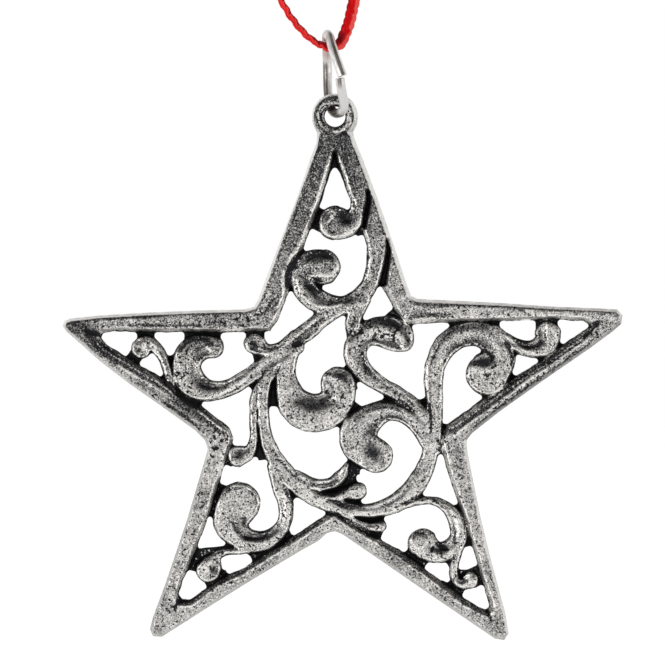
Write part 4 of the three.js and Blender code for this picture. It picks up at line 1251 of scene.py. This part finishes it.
# Painted shade on the bright rim, by the way that it faces.
rim_v, rim_u = np.gradient(outer, GRID)
rim_down = rim_v / np.maximum(np.hypot(rim_u, rim_v), LEAST_SLOPE)
rim_shade = (
    0.15
    + 0.34 * ramp(rim_down, -0.2, 0.5)
    + 0.2 * ramp(-V, 20, 40)
    + 0.35 * ramp(-rim_down, -0.4, -0.2) * ramp(-V, 36, 42) * ramp(-U, 8, 11)
    + 0.35 * ramp(rim_down, 0.2, 0.5) * ramp(U, 10, 14) * ramp(V, -50, -44)
    + 0.25 * ramp(U, 14, 28) * ramp(V, -25, -23)
    - 0.22 * ramp(-U, 4, 8) * ramp(-rim_down, 0.5, 0.9)
)
rim_shade = np.where(outer < RIM_WIDTH, rim_shade, 0)
patina = np.clip(patina, -0.4, 2.0)
coarse = 1 + 0.32 * ramp(V, -34, -20) + 0.12 * (from_rim == FAR) + 0.25 * np.clip(patina, 0, 1)
edge_v, edge_u = np.gradient(edge, GRID)
lean = blurred(-edge_v / np.maximum(np.hypot(edge_u, edge_v), LEAST_SLOPE), 1)

# The grid's cells become faces. A cell that the outline crosses is clipped on it, and grid places
# near the outline are moved onto it first, so that no face is a sliver.
SNAP = 0.32
slope_v, slope_u = np.gradient(depth, GRID)
steepness = np.maximum(np.hypot(slope_u, slope_v), LEAST_SLOPE)
near = np.abs(depth) < SNAP * GRID
place_u = U - np.where(near, depth * slope_u / steepness**2, 0)
place_v = V - np.where(near, depth * slope_v / steepness**2, 0)
inside = (depth > 0) | near
index = np.full(U.shape, -1)
index[inside] = np.arange(inside.sum())
first_cut = int(inside.sum())
cut_places, cut_between = {}, []


def outline_vertex(a, b):
    """The vertex where the outline cuts the grid line from inside place a to outside place b."""
    if near[a]:
        return int(index[a])
    if (a, b) not in cut_places:
        cut_places[a, b] = first_cut + len(cut_between)
        cut_between.append((a, b, depth[a] / (depth[a] - depth[b])))
    return cut_places[a, b]


def corners(field):
    """The values at the four corners of every cell, in their order round it."""
    return np.stack([field[:-1, :-1], field[:-1, 1:], field[1:, 1:], field[1:, :-1]], -1)


whole = corners(inside).all(-1)
crossed = corners(inside).any(-1) & ~whole
faces = corners(index)[whole].tolist()
for row, column in zip(*np.nonzero(crossed)):
    cell = [(row, column), (row, column + 1), (row + 1, column + 1), (row + 1, column)]
    polygon = []
    for a, b in zip(cell, cell[1:] + cell[:1]):
        if inside[a]:
            polygon.append(int(index[a]))
        if inside[a] != inside[b]:
            polygon.append(outline_vertex(a, b) if inside[a] else outline_vertex(b, a))
    polygon = [p for p, q in zip(polygon, polygon[1:] + polygon[:1]) if p != q]
    if len(set(polygon)) > 2:
        faces.append(polygon)


def at_vertices(field):
    """A field's values at the mesh's front vertices, those on the outline worked out between two places."""
    cuts = [field[a] + (field[b] - field[a]) * t for a, b, t in cut_between]
    return np.concatenate([field[inside], cuts])


# The front stands out from the flat back towards -Y, and walls join the two all round.
front = np.stack([
    eye_x + at_vertices(place_u) * MM,
    star_high.y - at_vertices(height) * MM,
    eye_z + at_vertices(place_v) * MM,
], 1)
front_count = len(front)
sides = dict.fromkeys((a, b) for face in faces for a, b in zip(face, face[1:] + face[:1]))
rim = [(a, b) for a, b in sides if (b, a) not in sides]
back_of = {}
for a, b in rim:
    back_of.setdefault(a, front_count + len(back_of))
    back_of.setdefault(b, front_count + len(back_of))
back = front[list(back_of)].copy()
back[:, 1] = star_high.y
walls = [(b, a, back_of[a], back_of[b]) for a, b in rim]
star_mesh = bpy.data.meshes.new("star_relief")
star_mesh.from_pydata(np.vstack([front, back]).tolist(), [], faces + walls)
# What the finish reads at each vertex. The back has one plain value of each.
for name, field, at_back in (
    ("edge_mm", edge, 2.0),
    ("rim_mm", from_rim, FAR),
    ("lean", lean, 0.0),
    ("rim_shade", rim_shade, 0.0),
    ("pitted", pitted, 0.3),
    ("patina", patina, 0.42),
    ("coarse", coarse, 1.2),
    ("hollowed", hollowed, 0.0),
):
    values = np.concatenate([at_vertices(field), np.full(len(back_of), at_back)])
    write_values(star_mesh, name, values)
# The flat back is filled in between its edges.
work = bmesh.new()
work.from_mesh(star_mesh)
back_edges = [e for e in work.edges if min(vertex.index for vertex in e.verts) >= front_count]
bmesh.ops.triangle_fill(work, use_beauty=True, use_dissolve=False, edges=back_edges)
work.to_mesh(star_mesh)
work.free()
star = put_in_scene("star_relief", star_mesh)
face_out(star)
shade_smooth(star, STAR_SMOOTH_UNDER)

# The finish: sandy grain and pits, a dark patina, metal rubbed bright along its edges, and painted light and
# shade.
GRAIN_SIZE = 0.15 * MM
SAND_SIZE = 0.27 * MM
GLINT_SIZE = 0.24 * MM
SMALL_PIT_SIZE = 0.30 * MM
PIT_SIZE = 0.46 * MM
RAGGED_SIZE = 0.5 * MM
RUBBED_SIZE = 0.8 * MM
CLOUD_SIZE = 2.6 * MM
GRAIN_DEPTH = 0.05 * MM
GRAIN_CONTRAST = 3.3
SAND_CONTRAST = 1.35
CLOUD_CONTRAST = 1.15
GLINT_BRIGHTNESS = 1.7
RIM_BRIGHTNESS = 1.45
OUTLINE_DARKNESS = 1.7
pewter_tones = [
    (0.0, (0.020, 0.020, 0.022)),
    (0.3, (0.080, 0.080, 0.084)),
    (0.6, (0.42, 0.41, 0.39)),
    (0.85, (0.84, 0.82, 0.78)),
    (1.0, (0.97, 0.95, 0.91)),
]
pewter, tree = new_material("antiqued_pewter")
place = object_place(tree)
patina = attribute(tree, "patina")
pitted = attribute(tree, "pitted")
grain = noise(tree, place, GRAIN_SIZE, 2.0, 0.7)
sand = noise(tree, place, SAND_SIZE, 2.0, 0.6)
rubbed = noise(tree, place, RUBBED_SIZE, 2.0, 0.6)
clouds = noise(tree, place, CLOUD_SIZE, 3.0, 0.6)
ragged = (noise(tree, place, RAGGED_SIZE, 2.0, 0.6) - 0.5) * 0.3
small_pits = noise(tree, place, SMALL_PIT_SIZE, 1.0).step(0.37, 0.31)
pits = small_pits.highest((noise(tree, place, PIT_SIZE, 1.0) - pitted * 0.09).step(0.34, 0.29))
edge_mm = attribute(tree, "edge_mm") + ragged
rim_mm = attribute(tree, "rim_mm") + ragged * 0.5
on_frame = rim_mm.step(6.0, 5.0)
facing_up = attribute(tree, "lean").step(0.1, 0.5)
# Painted shade: a thin dark line along every edge, where the wall falls away.
outline = (edge_mm + on_frame * 0.035).step(0.14, 0.04)
# The bright rim: rubbed metal and a painted highlight, less metallic, greyed by its painted shade.
rubbed_rim_and_highlight = rim_mm.step(0.36, 0.26)
# Rubbed edges with painted highlights, and painted highlights on bevels that face down and crests that face
# up.
rubbed_edge_and_highlight = edge_mm.band(0.10, 0.17, 0.26, 0.38) * (1 - on_frame) * (1 - facing_up * 0.5)
rubbed_edge_and_highlight = rubbed_edge_and_highlight * rubbed.step(0.38, 0.55)
painted_bevel_highlight = edge_mm.band(0.08, 0.16, 0.30, 0.62) * on_frame * (1 - facing_up)
painted_crest_highlight = edge_mm.band(0.54, 0.63, 0.72, 0.82) * on_frame * facing_up * sand.step(0.4, 0.55)
rubbed_and_highlit = (rubbed_edge_and_highlight * 0.7).highest(painted_bevel_highlight * 0.7).highest(painted_crest_highlight * 0.8)
behind_edge = edge_mm.band(0.34, 0.42, 0.48, 0.62) * (1 - on_frame)
# Painted glints: tiny bright specks near the edges of dark places.
painted_glints = noise(tree, place, GLINT_SIZE, 0.0).step(0.66, 0.72) * edge_mm.band(0.04, 0.12, 0.4, 0.7)
rough = (grain - 0.5) * attribute(tree, "coarse") * GRAIN_CONTRAST + (sand - 0.5) * SAND_CONTRAST
rough = rough * (1 - attribute(tree, "hollowed").lowest(1.0) * 0.55)
# How far the metal is rubbed, with painted shade and highlights in it: its colour runs from black to bright
# with this.
wear_and_painted_light = (1 - patina) + rough + (clouds - 0.5) * CLOUD_CONTRAST
wear_and_painted_light = wear_and_painted_light + rubbed_and_highlit * patina.step(1.6, 1.2) - behind_edge * 0.2 - pits * (pitted * 0.6 + 1)
wear_and_painted_light = wear_and_painted_light + painted_glints * patina.band(0.45, 0.9, 1.5, 1.95) * GLINT_BRIGHTNESS
rim_brightness = RIM_BRIGHTNESS - attribute(tree, "rim_shade")
wear_and_painted_light = wear_and_painted_light * (1 - rubbed_rim_and_highlight * 0.8) + rubbed_rim_and_highlight * rim_brightness - outline * OUTLINE_DARKNESS
finish_surface(
    tree,
    Base_Color=add_node(tree, "ShaderNodeValToRGB", {"stops": pewter_tones}, {"Fac": wear_and_painted_light * 0.5 + 0.2}),
    Metallic=0.92 - rubbed_rim_and_highlight * 0.6,
    Roughness=wear_and_painted_light.step(0.0, 1.0, 0.62, 0.34),
    Normal=bump(tree, 0.6, GRAIN_DEPTH, grain + sand - pits * 0.8 + rubbed_edge_and_highlight * 0.8),
)
star_mesh.materials.append(pewter)
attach(star, "star")
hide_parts("star_casting")
